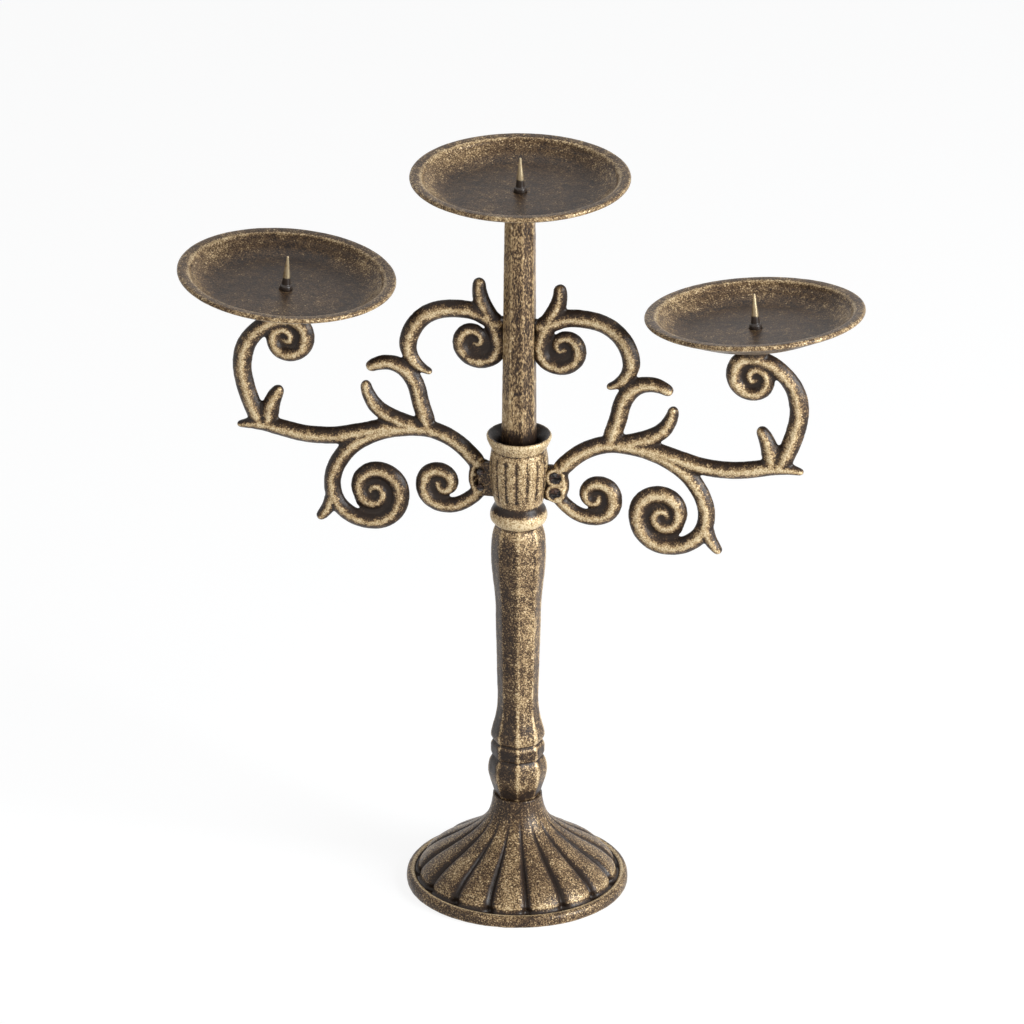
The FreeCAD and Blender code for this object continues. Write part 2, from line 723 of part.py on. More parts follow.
def scrollwork():
    """Every bar, volute and thorn of one arm on the +X side, as one list of solids."""
    pieces = []
    for line, widths, stations in BARS_SHARES.values():
        points = [arm_point(shares) for shares in line]
        pieces.append(bar(points, [share * bar_width for share in widths], stations))
    for centre, radius in WEB_SHARES:
        pieces.append(disc(arm_point(centre), radius * scroll_tall, float(size("web_thick"))))
    return pieces


def plain_arm():
    """The scrollwork with its lug, cut to fit the post, the vase, the ear, the dowel and the screws."""
    pieces = scrollwork()
    dowel_height = float(size("dowel_height"))
    gap = float(size("arm_gap"))
    lug_r = float(ear_r)
    lug_tall = float(size("screw_pitch")) + 1.8 * lug_r
    lug_low = float(size("ear_height")) - 0.5 * lug_tall
    lug_start = 0.8 * float(vase_r)
    lug_corner = Vector(lug_start, -0.5 * bar_thick, lug_low)
    lug = [Part.makeBox(float(screw_reach) - lug_start, bar_thick, lug_tall, lug_corner)]
    for x, z in screw_places:
        if float(x) > 0:
            lug.append(disc(Vector(float(x), 0, float(z)), lug_r, bar_thick))
    shape = pieces[0].multiFuse(pieces[1:] + lug)
    post_low = Vector(float(post_foot_half) + gap, 0, float(collar_top))
    post_high = Vector(float(post_top_half) + gap, 0, float(post_top))
    back = Vector(-bar_thick, 0, 0)
    outline = Part.makePolygon([post_low, post_high, post_high + back * 4, post_low + back * 4, post_low])
    post_room = Part.Face(outline).extrude(Vector(0, 4 * bar_thick, 0))
    post_room.translate(Vector(0, -2 * bar_thick, 0))
    vase_room = Part.makeCylinder(
        float(vase_r) + 6 * gap, 1.5 * float(size("vase_tall")),
        Vector(0, 0, float(vase_top) - 1.25 * float(size("vase_tall"))),
    )
    ear_corner = Vector(0, -gap, lug_low - 4 * gap)
    ear_room = Part.makeBox(float(screw_reach), bar_thick, lug_tall + 8 * gap, ear_corner)
    dowel_room = Part.makeCylinder(
        float(dowel_hole), float(post_foot_half) + 1.1 * float(size("dowel_bite")),
        Vector(0, 0, dowel_height), Vector(1, 0, 0),
    )
    head_room = float(size("screw_head_radius")) + float(size("screw_clearance"))
    shank_room = float(size("screw_radius")) + float(size("screw_clearance"))
    recess = 0.5 * bar_thick - float(size("screw_recess_deep"))
    drills = [post_room, vase_room, ear_room, dowel_room]
    for x, z in screw_places:
        if float(x) > 0:
            place = Vector(float(x), -recess, float(z))
            drills.append(Part.makeCylinder(shank_room, bar_thick, place, Vector(0, 1, 0)))
            drills.append(Part.makeCylinder(head_room, bar_thick, place, Vector(0, -1, 0)))
            ear_place = Vector(float(x), -gap, float(z))
            drills.append(Part.makeCylinder(lug_r + 4 * gap, bar_thick, ear_place, Vector(0, 1, 0)))
    shape = shape.cut(drills)
    print("plain arm solids", [round(part.Volume, 1) for part in shape.Solids])
    return max(shape.Solids, key=lambda part: part.Volume)


def seated_arm(blank, side, seat):
    """The arm on its own side, with a round boss whose top is square to the pan's seat."""
    blank = blank.copy()
    if side < 0:
        blank.rotate(Vector(), Vector(0, 0, 1), 180)
    upward = seat.Rotation.multVec(Vector(0, 0, 1))
    seat_radius = float(size("seat_radius"))
    boss_tall = float(size("seat_boss_tall"))
    cone_tall = 0.6 * boss_tall
    foot_point = seat.Base - upward * boss_tall
    cone = Part.makeCone(0.45 * bar_width, seat_radius, cone_tall, foot_point, upward)
    cap = Part.makeCylinder(seat_radius, boss_tall - cone_tall, foot_point + upward * cone_tall, upward)
    shape = blank.multiFuse([cone, cap])
    pan_room = Part.makeCylinder(2 * seat_radius, boss_tall, seat.Base, upward)
    stud_room = Part.makeCylinder(float(tapped), 1.3 * float(size("pricket_stud_long")), seat.Base, -upward)
    shape = shape.cut([pan_room, stud_room])
    return max(shape.Solids, key=lambda part: part.Volume)


def seat_placement(name):
    """Where a pan stands: level on the post, and on the arms' own seats at each side."""
    if name == "centre":
        return Placement(at(0, 0, post_top), Rotation())
    side = 1 if name == "right" else -1
    turn = Rotation(Vector(0, 1, 0), -side * float(size("seat_tilt")))
    turn = Rotation(Vector(1, 0, 0), -float(size(f"{name}_seat_lean"))) * turn
    return Placement(at(side * size("arm_reach"), 0, size("seat_height")), turn)


arms = {}
arm_blank = plain_arm()
for side, name in ((1, "right"), (-1, "left")):
    arm = doc.addObject("Part::Feature", f"{name}_arm")
    arm.Label = f"{name}_arm"
    arm.Shape = seated_arm(arm_blank, side, seat_placement(name))
    arm.Placement = Placement()
    arms[name] = arm


# The four screws that hold the arms' lugs to the ears
screws = []
head_r = size("screw_head_radius")
head_tall = size("screw_head_tall")
screw_seat = 0.5 * size("bar_thick") - size("screw_recess_deep")
for index, (x, z) in enumerate(screw_places, start=1):
    side = 1 if float(x) > 0 else -1
    inward = Rotation(Vector(1, 0, 0), -90 * side)
    shank = cylinder(f"lug_screw_shank_{index}", size("screw_radius"), screw_seat + 0.95 * size("ear_thick"))
    shank.Placement = Placement(at(x, -side * screw_seat, z), inward)
    head = cylinder(f"lug_screw_head_{index}", head_r, head_tall)
    head.Placement = Placement(at(x, -side * (screw_seat + head_tall), z), inward)
    slot = doc.addObject("Part::Box", f"lug_screw_slot_{index}")
    bind(slot, Length=3.0 * head_r, Width=head_tall, Height=size("screw_slot_width"))
    slot_y = -screw_seat - 1.5 * head_tall if side > 0 else screw_seat + 0.5 * head_tall
    slot.Placement = Placement(at(x - 1.5 * head_r, slot_y, z - 0.5 * size("screw_slot_width")), Rotation())
    blank = doc.addObject("Part::Fuse", f"lug_screw_blank_{index}")
    blank.Base = shank
    blank.Tool = head
    screw = doc.addObject("Part::Cut", f"lug_screw_{index}")
    screw.Base = blank
    screw.Tool = slot
    screws.append(screw)
lug_screws = doc.addObject("Part::Compound", "lug_screws")
lug_screws.Links = screws

# The plain pin through the post
dowel_half = post_top_half + size("dowel_bite")
arm_dowel = cylinder("arm_dowel", size("dowel_radius"), 2.0 * dowel_half)
dowel_turn = Rotation(Vector(0, 1, 0), 90)
arm_dowel.Placement = Placement(at(-dowel_half, 0, size("dowel_height")), dowel_turn)


# Three pans, drawn with the underside at height zero
def pan(label):
    radius = size("pan_radius")
    floor = size("pan_thick")
    rim = pan_rise
    lip = radius - size("pan_lip_width")
    lip_low = rim - size("pan_lip_fall")
    edge = size("pan_edge_thick")
    floor_r = size("pan_floor_radius")
    hole = size("pan_hole_radius")
    collar = size("pricket_collar_radius") + 2.0 * size("thread_clearance")
    seat = floor - size("pricket_seat_deep")
    return turned_body(label, [
        (hole, 0.0),
        (floor_r, 0.0),
        (0.5 * (floor_r + radius) + 0.35 * edge, 0.36 * rim, "arc"),
        (radius - 0.7 * edge, rim - 1.9 * edge),
        (radius, rim - 0.9 * edge),
        (radius, rim - 0.3 * edge),
        (radius - 0.1 * edge, rim - 0.08 * edge, "arc"),
        (radius - 0.35 * edge, rim),
        (lip, lip_low),
        (0.5 * (lip + floor_r) + 0.035 * radius, 0.5 * (floor + lip_low) - 0.09 * rim, "arc"),
        (floor_r, floor),
        (collar, floor),
        (collar, seat),
        (hole, seat),
    ])


# A pricket: a pointed pin with a collar that sits in the pan and a stud below
def pricket(label):
    floor = size("pan_thick")
    seat = floor - size("pricket_seat_deep")
    collar_r = size("pricket_collar_radius")
    collar_top = floor + size("pricket_collar_tall")
    stud_r = size("pricket_stud_radius")
    radius = size("pricket_radius")
    tip = size("pricket_tip_radius")
    top = floor + size("pricket_tall")
    return turned_body(label, [
        (0.0, -size("pricket_stud_long")),
        (0.8 * stud_r, -size("pricket_stud_long")),
        (stud_r, -size("pricket_stud_long") + 0.2 * stud_r),
        (stud_r, seat),
        (collar_r, seat),
        (collar_r, collar_top - 0.2 * collar_r),
        (collar_r - 0.2 * collar_r, collar_top),
        (radius, collar_top),
        (tip, top - 0.5 * tip),
        (0.6 * tip, top),
        (0.0, top),
    ])


pans = {}
prickets = {}
for name in ("left", "centre", "right"):
    pans[name] = pan(f"{name}_pan")
    pans[name].Placement = seat_placement(name)
    prickets[name] = pricket(f"{name}_pricket")
    prickets[name].Placement = seat_placement(name)

# The tie rod from under the foot up into the post, with its washer and nut
washer_thick = size("washer_thick")
rod_low = seat_height - size("rod_tail")
tie_rod = cylinder("tie_rod", size("rod_radius"), socket_floor + size("rod_bite") - rod_low)
tie_rod.Placement = Placement(at(0, 0, rod_low), Rotation())
tie_washer = turned_body("tie_washer", [
    (rod_tapped, seat_height - washer_thick),
    (size("washer_radius"), seat_height - washer_thick),
    (size("washer_radius"), seat_height),
    (rod_tapped, seat_height),
])

tie_nut = new_body("tie_nut")
nut_sketch = body_sketch(tie_nut, "tie_nut_outline", "XY_Plane")
nut_low = seat_height - washer_thick - size("nut_tall")
nut_sketch.AttachmentOffset = Placement(at(0, 0, nut_low), Rotation())
bind(nut_sketch, **{".AttachmentOffset.Base.z": nut_low})
nut_corner = 0.5 * size("nut_flats") / math.cos(math.pi / 6)
draw_outline(nut_sketch, [
    (nut_corner * math.cos(math.radians(60 * k + 30)), nut_corner * math.sin(math.radians(60 * k + 30)))
    for k in range(6)
])
draw_circle(nut_sketch, rod_tapped)
nut_pad = tie_nut.newObject("PartDesign::Pad", "tie_nut_pad")
nut_pad.Profile = nut_sketch
bind(nut_pad, Length=size("nut_tall"))
tie_nut.Tip = nut_pad
doc.recompute()

subparts = {
    "foot": foot,
    "stem": stem,
    "post": post,
    "right_arm": arms["right"],
    "left_arm": arms["left"],
    "lug_screws": lug_screws,
    "arm_dowel": arm_dowel,
    "left_pan": pans["left"],
    "centre_pan": pans["centre"],
    "right_pan": pans["right"],
    "left_pricket": prickets["left"],
    "centre_pricket": prickets["centre"],
    "right_pricket": prickets["right"],
    "tie_rod": tie_rod,
    "tie_washer": tie_washer,
    "tie_nut": tie_nut,
}
doc.recompute()

for thing in doc.Objects:
    if "Invalid" in thing.State or "Error" in thing.State:
        raise RuntimeError(f"{thing.Name} did not build: {thing.State}")
for label, thing in subparts.items():
    shape = thing.Shape
    if shape.isNull() or not shape.isValid() or not shape.Solids:
        raise RuntimeError(f"{label} has no valid solid")

os.makedirs("parts", exist_ok=True)
for label, thing in subparts.items():
    thing.Label = label
    thing.Shape.exportStep(os.path.join("parts", f"{label}.step"))
    box = thing.Shape.optimalBoundingBox()
    print(
        f"{label:16s} solids {len(thing.Shape.Solids)} volume {thing.Shape.Volume:10.1f}",
        f"x {box.XMin:7.1f} {box.XMax:7.1f} y {box.YMin:6.1f} {box.YMax:6.1f}",
        f"z {box.ZMin:6.1f} {box.ZMax:6.1f}",
    )
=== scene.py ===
# %% [markdown]
# # A scrolled iron candlestick
# The real object is a set of iron castings: a lobed foot, a baluster stem, a post, two scroll
# arms and three pans with spikes. They are painted brown-black and then brushed with gold paint
# by an almost dry brush, so the gold sits on the high spots and the hollows stay dark.
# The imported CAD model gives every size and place. Each casting is made again here as a finer
# surface in the same place, because a cast surface is never as even as a drawn one.

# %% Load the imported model
from itertools import product
from math import cos, pi, radians, sin, tau

import bpy
import numpy as np
from mathutils import Matrix, Vector


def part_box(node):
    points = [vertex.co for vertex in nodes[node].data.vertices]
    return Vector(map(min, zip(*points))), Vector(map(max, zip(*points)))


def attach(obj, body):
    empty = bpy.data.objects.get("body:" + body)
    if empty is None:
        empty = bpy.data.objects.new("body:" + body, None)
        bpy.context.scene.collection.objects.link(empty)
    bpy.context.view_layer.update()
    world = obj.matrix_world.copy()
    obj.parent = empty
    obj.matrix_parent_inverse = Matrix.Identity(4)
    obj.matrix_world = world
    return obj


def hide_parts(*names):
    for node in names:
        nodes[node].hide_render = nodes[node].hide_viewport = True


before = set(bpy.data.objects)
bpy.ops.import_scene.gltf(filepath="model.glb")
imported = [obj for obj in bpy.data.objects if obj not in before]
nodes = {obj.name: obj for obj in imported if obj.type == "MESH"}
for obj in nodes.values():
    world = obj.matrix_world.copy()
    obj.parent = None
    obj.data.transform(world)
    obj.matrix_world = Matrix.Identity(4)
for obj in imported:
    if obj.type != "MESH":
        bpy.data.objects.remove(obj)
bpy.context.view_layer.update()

# %% [markdown]
# ## Sizes
# Shapes are worked out in millimetres, as they were measured, and turned into metres when they
# go into a mesh. The heights at which the castings meet are read from the frame. A cast skin
# stands out a little from the drawn surface, so the foot's rim and the spikes' tips are drawn
# a tenth of a millimetre smaller.

# %% Heights and radii read from the frame, in millimetres
MM = 0.001
SKIN_ROOM = 0.1


def low(node):
    """A CAD node's lowest x, y and z."""
    return np.array(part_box(node)[0]) / MM


def high(node):
    """A CAD node's highest x, y and z."""
    return np.array(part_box(node)[1]) / MM


FOOT_TALL = high("foot")[2]
FOOT_RADIUS = high("foot")[0] - SKIN_ROOM
COLLAR_TOP = high("stem")[2]
SOCKET_FLOOR = low("post")[2]
POST_TOP = high("post")[2]
POST_FOOT_HALF = high("post")[0]
PAN_RADIUS = high("centre_pan")[0]
PAN_RISE = high("centre_pan")[2] - low("centre_pan")[2]
SPIKE_TOP = high("centre_pricket")[2] - POST_TOP - SKIN_ROOM
STUD_DEEP = POST_TOP - low("centre_pricket")[2]
print("foot", FOOT_TALL, "collar", COLLAR_TOP, "post", SOCKET_FLOOR, POST_TOP, "pan rise", PAN_RISE)

# %% [markdown]
# ## From arrays to meshes
# A surface here is a grid of points worked out by a formula. The same few lines turn any grid
# into a mesh: every four neighbouring points make a face. A tube's two ends are closed by fans of
# triangles round a middle point; a profile that runs back to its own start needs no end at all.


# %% Faces of capped tubes and of closed rings
def faces_of(rows, columns, capped, first):
    """Quads between rows, counted from first; capped tubes also get a fan at each end."""
    row = np.arange(rows - 1 if capped else rows)[:, None]
    column = np.arange(columns)[None, :]
    next_row = (row + 1) % rows
    next_column = (column + 1) % columns
    quads = np.stack([
        row * columns + column, row * columns + next_column,
        next_row * columns + next_column, next_row * columns + column,
    ], -1).reshape(-1, 4)
    if not capped:
        return (quads + first).tolist()
    here = np.arange(columns)
    after = (here + 1) % columns
    top = (rows - 1) * columns
    low_fan = np.stack([after, here, np.full(columns, rows * columns)], -1)
    high_fan = np.stack([top + here, top + after, np.full(columns, rows * columns + 1)], -1)
    fans = np.concatenate([low_fan, high_fan])
    return (quads + first).tolist() + (fans + first).tolist()


def mesh_from(name, capped=(), closed=()):
    """One mesh from any number of grids in millimetres."""
    points, faces, count = [], [], 0
    for grids, has_ends in ((capped, True), (closed, False)):
        for grid in grids:
            flat = grid.reshape(-1, 3)
            if has_ends:
                flat = np.concatenate([flat, grid[0].mean(0)[None], grid[-1].mean(0)[None]])
            faces += faces_of(*grid.shape[:2], has_ends, count)
            points.append(flat)
            count += len(flat)
    mesh = bpy.data.meshes.new(name)
    mesh.from_pydata(np.concatenate(points) * MM, [], faces)
    mesh.update()
    return mesh


# %% Reading and writing a mesh's points as arrays
def read_points(mesh):
    """Every point of a mesh in millimetres, one row each."""
    flat = np.empty(len(mesh.vertices) * 3, np.float32)
    mesh.vertices.foreach_get("co", flat)
    return flat.reshape(-1, 3).astype(float) / MM


def write_points(mesh, points):
    """Puts points in millimetres back into the mesh."""
    mesh.vertices.foreach_set("co", (points * MM).astype(np.float32).ravel())
    mesh.update()


def read_normals(mesh):
    """The outward direction at every point, one row each."""
    flat = np.empty(len(mesh.vertices) * 3, np.float32)
    mesh.vertex_normals.foreach_get("vector", flat)
    return flat.reshape(-1, 3).astype(float)


def store(mesh, name, values):
    """Keeps one number per point on the mesh, for its material to read."""
    layer = mesh.attributes.new(name, "FLOAT", "POINT")
    layer.data.foreach_set("value", values.astype(np.float32))


# %% [markdown]
# ## The cast skin
# Iron poured into sand comes out with soft lumps, one to five millimetres across and about a
# tenth of a millimetre high. A texture that only bends the light would leave the edges straight,
# so the points themselves move along their normals. The heights are smooth random ones on a
# lattice, blended between the lattice's corners, for three sizes of lump.

# %% Lumps: random heights on a lattice, blended smoothly between its corners
STIR = (73856093, 19349663, 83492791)
STIR_SEED = 2654435761
STIR_LAST = 1274126177
FIRST_CELL = 1000.0
LUMP_SIZES = (5.5, 2.3, 1.2)
LUMP_SHARES = (1.0, 0.9, 0.6)


def lumps(points, spacing, seed):
    """Smooth values from -1 to 1: eight corner values, mixed by 3t^2 - 2t^3 along each axis.

    A corner's value comes from its place and the seed, stirred by large odd numbers. The cells
    count from FIRST_CELL, so that none is below 0.
    """
    place = points / spacing + FIRST_CELL
    cell = np.floor(place).astype(np.int64)
    inside = place - cell
    inside = inside * inside * (3 - 2 * inside)
    total = np.zeros(len(points))
    for dx, dy, dz in product((0, 1), repeat=3):
        key = (cell[:, 0] + dx) * STIR[0] ^ (cell[:, 1] + dy) * STIR[1]
        key = key ^ (cell[:, 2] + dz) * STIR[2] ^ seed * STIR_SEED
        key = (key ^ (key >> 13)) * STIR_LAST & 0x7FFFFFFF
        value = ((key ^ (key >> 16)) & 0xFFFF) / 32767.5 - 1
        share = np.abs(1 - dx - inside[:, 0]) * np.abs(1 - dy - inside[:, 1])
        total += value * share * np.abs(1 - dz - inside[:, 2])
    return total


def cast_skin(mesh, height=0.11, seed=1):
    """Moves every point along its normal by large, middling and fine lumps."""
    points = read_points(mesh)
    rise = sum(
        share * lumps(points, size, seed + index)
        for index, (size, share) in enumerate(zip(LUMP_SIZES, LUMP_SHARES))
    )
    moved = points + read_normals(mesh) * (height * rise / 2)[:, None]
    moved[:, 2] = np.maximum(moved[:, 2], 0)  # what stands on the table is ground flat
    write_points(mesh, moved)


# %% [markdown]
# ## Where the gold lands
# A dry brush leaves paint on whatever stands out and misses what lies deep. On the arms that is
# measured: a copy of the surface relaxes as each point moves to the middle of its neighbours many
# times, and the real point stands out from the relaxed one or lies below it. The turned pieces
# take it from the formulas that shape them, which know where each edge, flute and groove lies.
# Either way it is one number per point that the mesh keeps for its material. Painted shade and
# painted highlight are added to it: less gold on tops that face up, on sides turned from the key
# lamp and where the post shades the arms, and more on a lit facet and along the arms' crests.


# %% How far each point stands out from its relaxed neighbourhood
def relaxed(mesh, points, rounds):
    """Each round replaces a point by half itself and half the mean of its neighbours."""
    ends = np.empty(len(mesh.edges) * 2, np.int32)
    mesh.edges.foreach_get("vertices", ends)
    a, b = ends.reshape(-1, 2).T
    count = len(points)
    degree = np.maximum(np.bincount(a, minlength=count) + np.bincount(b, minlength=count), 1)
    soft = points.copy()
    for _ in range(rounds):
        around = np.stack([
            np.bincount(a, soft[b, k], count) + np.bincount(b, soft[a, k], count) for k in range(3)
        ], -1)
        soft = 0.5 * soft + 0.5 * around / degree[:, None]
    return soft


def stands_out(mesh, rounds=17, full=0.35):
    """(1 + tanh(height / full)) / 2: 0 in a deep groove, 0.5 on the flat and 1 on a ridge."""
    points = read_points(mesh)
    lift = np.einsum("ij,ij->i", points - relaxed(mesh, points, rounds), read_normals(mesh))
    return 0.5 + 0.5 * np.tanh(lift / full)


# %% Steps, hills and stretches: where on a piece something happens
def smooth_step(value, start, end):
    """0 before start, 1 after end, and 3t^2 - 2t^3 between them."""
    share = np.clip((value - start) / (end - start), 0, 1)
    return share * share * (3 - 2 * share)


def hill(value, middle, wide):
    """exp(-((value - middle) / wide)^2): 1 in the middle and near 0 two widths away."""
    return np.exp(-((value - middle) / wide) ** 2)


def over(value, start, end):
    """1 between two places: a smooth step up over the pair start and down over the pair end."""
    return smooth_step(value, *start) * (1 - smooth_step(value, *end))


def gold_on(amounts, covers):
    """The plain amount, plus each part's amount times how far that part covers each point."""
    return amounts["plain"] + sum(amounts[part] * cover for part, cover in covers.items())


# %% A finished piece from a mesh and its values of gold, with painted shade on what faces up
TOP_SHADE_RISE = (0.3, 0.9)


def add_piece(name, mesh, replaced, slot_name, material, wear_and_shade, seed=1, height=0.11, sky=0.16):
    """Gives a mesh its skin, gold values, material and place; sky is painted shade, gold taken off what
    faces up.
    """
    cast_skin(mesh, height, seed)
    # Painted shade: faces turned up get less gold, because tops look darker under this light.
    top_shade_share = smooth_step(read_normals(mesh)[:, 2], *TOP_SHADE_RISE)
    store(mesh, "wear_and_shade", np.clip(wear_and_shade - sky * top_shade_share, 0, 1))
    mesh.shade_smooth()
    mesh.materials.append(material)
    piece = bpy.data.objects.new(name, mesh)
    bpy.context.scene.collection.objects.link(piece)
    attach(piece, "root")
    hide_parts(*replaced)
    print(name, "points", len(mesh.vertices), "faces", len(mesh.polygons))


# %% [markdown]
# ## Materials
# Blender's shader nodes do arithmetic one node at a time, which is hard to read. A small class
# wraps a socket so that ordinary expressions, such as 1 - mask, add the nodes.


# %% A socket that can be added, taken away, multiplied and stepped
class Sock:
    def __init__(self, kit, socket):
        self.kit = kit
        self.socket = socket

    def joined(self, operation, *others, swap=False):
        """A Math node on this socket and the others, in turned order where swap says so."""
        values = [self, *others]
        if swap:
            values.reverse()
        return self.kit.node("ShaderNodeMath", {"operation": operation}, dict(enumerate(values)))

    def __add__(self, other):
        return self.joined("ADD", other)

    def __radd__(self, other):
        return self.joined("ADD", other, swap=True)

    def __sub__(self, other):
        return self.joined("SUBTRACT", other)

    def __rsub__(self, other):
        return self.joined("SUBTRACT", other, swap=True)

    def __mul__(self, other):
        return self.joined("MULTIPLY", other)

    def __rmul__(self, other):
        return self.joined("MULTIPLY", other, swap=True)

    def between(self, start, end):
        """0 below start, 1 above end, and a smooth step in between."""
        return self.kit.node(
            "ShaderNodeMapRange", {"interpolation_type": "SMOOTHSTEP"},
            {"Value": self, "From Min": start, "From Max": end}, "Result",
        )


class Kit:
    """Adds nodes to one material or world."""

    def __init__(self, owner):
        self.owner = owner
        owner.use_nodes = True
        self.tree = owner.node_tree
        self.tree.nodes.clear()

    def node(self, kind, settings=None, inputs=None, output=0):
        """One node: its settings first, then a value or a link for each socket named."""
        made = self.tree.nodes.new(kind)
        for key, value in (settings or {}).items():
            setattr(made, key, value)
        for key, value in (inputs or {}).items():
            if isinstance(value, Sock):
                self.tree.links.new(value.socket, made.inputs[key])
            else:
                made.inputs[key].default_value = value
        return Sock(self, made.outputs[output]) if len(made.outputs) else None

    def place(self):
        """Where a point lies on its own object, in metres."""
        return self.node("ShaderNodeTexCoord", output="Object")

    def mix(self, share, first, second):
        """A colour between first and second."""
        return self.node(
            "ShaderNodeMix", {"data_type": "RGBA"}, {0: share, 6: first, 7: second}, 2,
        )

    def noise(self, place, feature_mm, detail=2.0, rough=0.5):
        """Soft noise from 0 to 1, with features about feature_mm millimetres across."""
        return self.node(
            "ShaderNodeTexNoise", {"noise_dimensions": "3D"},
            {"Vector": place, "Scale": 1 / (feature_mm * MM), "Detail": detail, "Roughness": rough},
        )

    def attribute(self, name):
        """A number that the mesh keeps for each point."""
        return self.node("ShaderNodeAttribute", {"attribute_name": name}, output="Fac")

    def bump(self, height, strength, deep_mm):
        """The normal of a surface whose height from 0 to 1 means deep_mm millimetres."""
        inputs = {"Strength": strength, "Distance": deep_mm * MM, "Height": height}
        return self.node("ShaderNodeBump", None, inputs, "Normal")

    def finish(self, shader, kind="ShaderNodeOutputMaterial"):
        """Leads the shader to the output and hands back the finished material or world."""
        self.node(kind, inputs={"Surface": shader})
        return self.owner


def colour(red, green, blue):
    """An sRGB colour of 0 to 255 as the linear values that Blender works in."""
    parts = np.array([red, green, blue]) / 255
    linear = np.where(parts <= 0.04045, parts / 12.92, ((parts + 0.055) / 1.055) ** 2.4)
    return (*[float(part) for part in linear], 1.0)


# %% [markdown]
# ## Brown-black iron with brushed gold
# On a dark coat that is a little glossy lie three layers: a thin brown haze, specks of gold paint,
# and pale gold where the brush left most, which along the arms' crest lines is also a painted
# highlight. A painted image could hold them, but noise on Object coordinates needs none, shows no
# seam and sticks to its piece. One number, the level, decides: it is the mesh's value of wear and
# painted shade plus noise of three sizes, less what the brush passes over, and each layer lies where
# the level is past that layer's own edge. The finest noise breaks those edges up into specks under a
# millimetre across. The pieces differ in how streaky and blotched they are.

# %% The bronzed iron's colours, feature sizes in millimetres, and edges as pairs of levels
DARK_COAT = colour(39, 28, 21)
BROWN_HAZE = colour(97, 75, 53)
GOLD_PAINT = colour(176, 148, 108)
PALE_GOLD = colour(224, 203, 164)
SPECK_SIZE = 0.70
MOTTLE_SIZE = 3.2
BROAD_SIZE = 15.0
GRAIN_SIZE = 0.8
GRAIN_DEEP = 0.22
BROAD_SHARE = 0.45
PALE_SHARE = 0.9
PASSED_OVER = 0.53
HAZE_AHEAD = 0.20
HAZE_EDGE = (-0.20, 0.26)
GOLD_EDGE = (-0.08, 0.22)
PALE_EDGE = (0.24, 0.60)
GOLD_METAL = 0.22


# %% The bronzed iron
def bronzed_iron(name, haze=0.0, along=1.0, spray=1.7, blotch=0.75, shine=0.25):
    """haze adds to the brown haze, and along below 1 draws the specks out up and down.

    spray and blotch are the shares of the fine and the middling noise, shine that of the gloss.
    """
    kit = Kit(bpy.data.materials.new(name))
    place = kit.place()
    streak = kit.node(
        "ShaderNodeVectorMath", {"operation": "MULTIPLY"}, {0: place, 1: (1.0, 1.0, along)},
    )
    fine = kit.noise(streak, SPECK_SIZE, 2.0, 0.6) - 0.5
    mottle = kit.noise(streak, MOTTLE_SIZE, 3.0, 0.55) - 0.5
    broad = kit.noise(place, BROAD_SIZE, 1.0) - 0.5
    pale = kit.noise(place, SPECK_SIZE, 1.0) - 0.5
    grain = kit.noise(place, GRAIN_SIZE, 2.0, 0.55)
    level = kit.attribute("wear_and_shade") + fine * spray + mottle * blotch + broad * BROAD_SHARE - PASSED_OVER
    haze_share = (level + HAZE_AHEAD + haze).between(*HAZE_EDGE)
    gold_share = level.between(*GOLD_EDGE)
    pale_share = (level + pale * PALE_SHARE).between(*PALE_EDGE)
    tone = kit.mix(haze_share, DARK_COAT, BROWN_HAZE)
    tone = kit.mix(gold_share, tone, GOLD_PAINT)
    tone = kit.mix(pale_share, tone, PALE_GOLD)
    shader = kit.node("ShaderNodeBsdfPrincipled", None, {
        "Base Color": tone,
        "Metallic": gold_share * GOLD_METAL,
        "Roughness": 0.38 + (grain - 0.5) * 0.25,
        "Specular IOR Level": shine,
        "Normal": kit.bump(grain, 0.5, GRAIN_DEEP),
    })
    return kit.finish(shader)


IRON = bronzed_iron("bronzed_iron")
POST_IRON = bronzed_iron("bronzed_iron_post", along=0.45)
PAN_IRON = bronzed_iron("bronzed_iron_pan", haze=0.10, shine=0.22)
FOOT_IRON = bronzed_iron("bronzed_iron_foot", blotch=0.40)
ARM_IRON = bronzed_iron("bronzed_iron_arm", spray=1.4, blotch=1.15)
print("iron materials:", [iron.name for iron in (IRON, POST_IRON, PAN_IRON, FOOT_IRON, ARM_IRON)])


# %% [markdown]
# ## Lines that shapes follow
# A founder's pattern maker draws a profile through a few measured points and fairs a smooth line
# through them. A natural cubic spline is the same thing in numbers: between every two points it
# is a cubic, and its slope and bend run on unbroken.


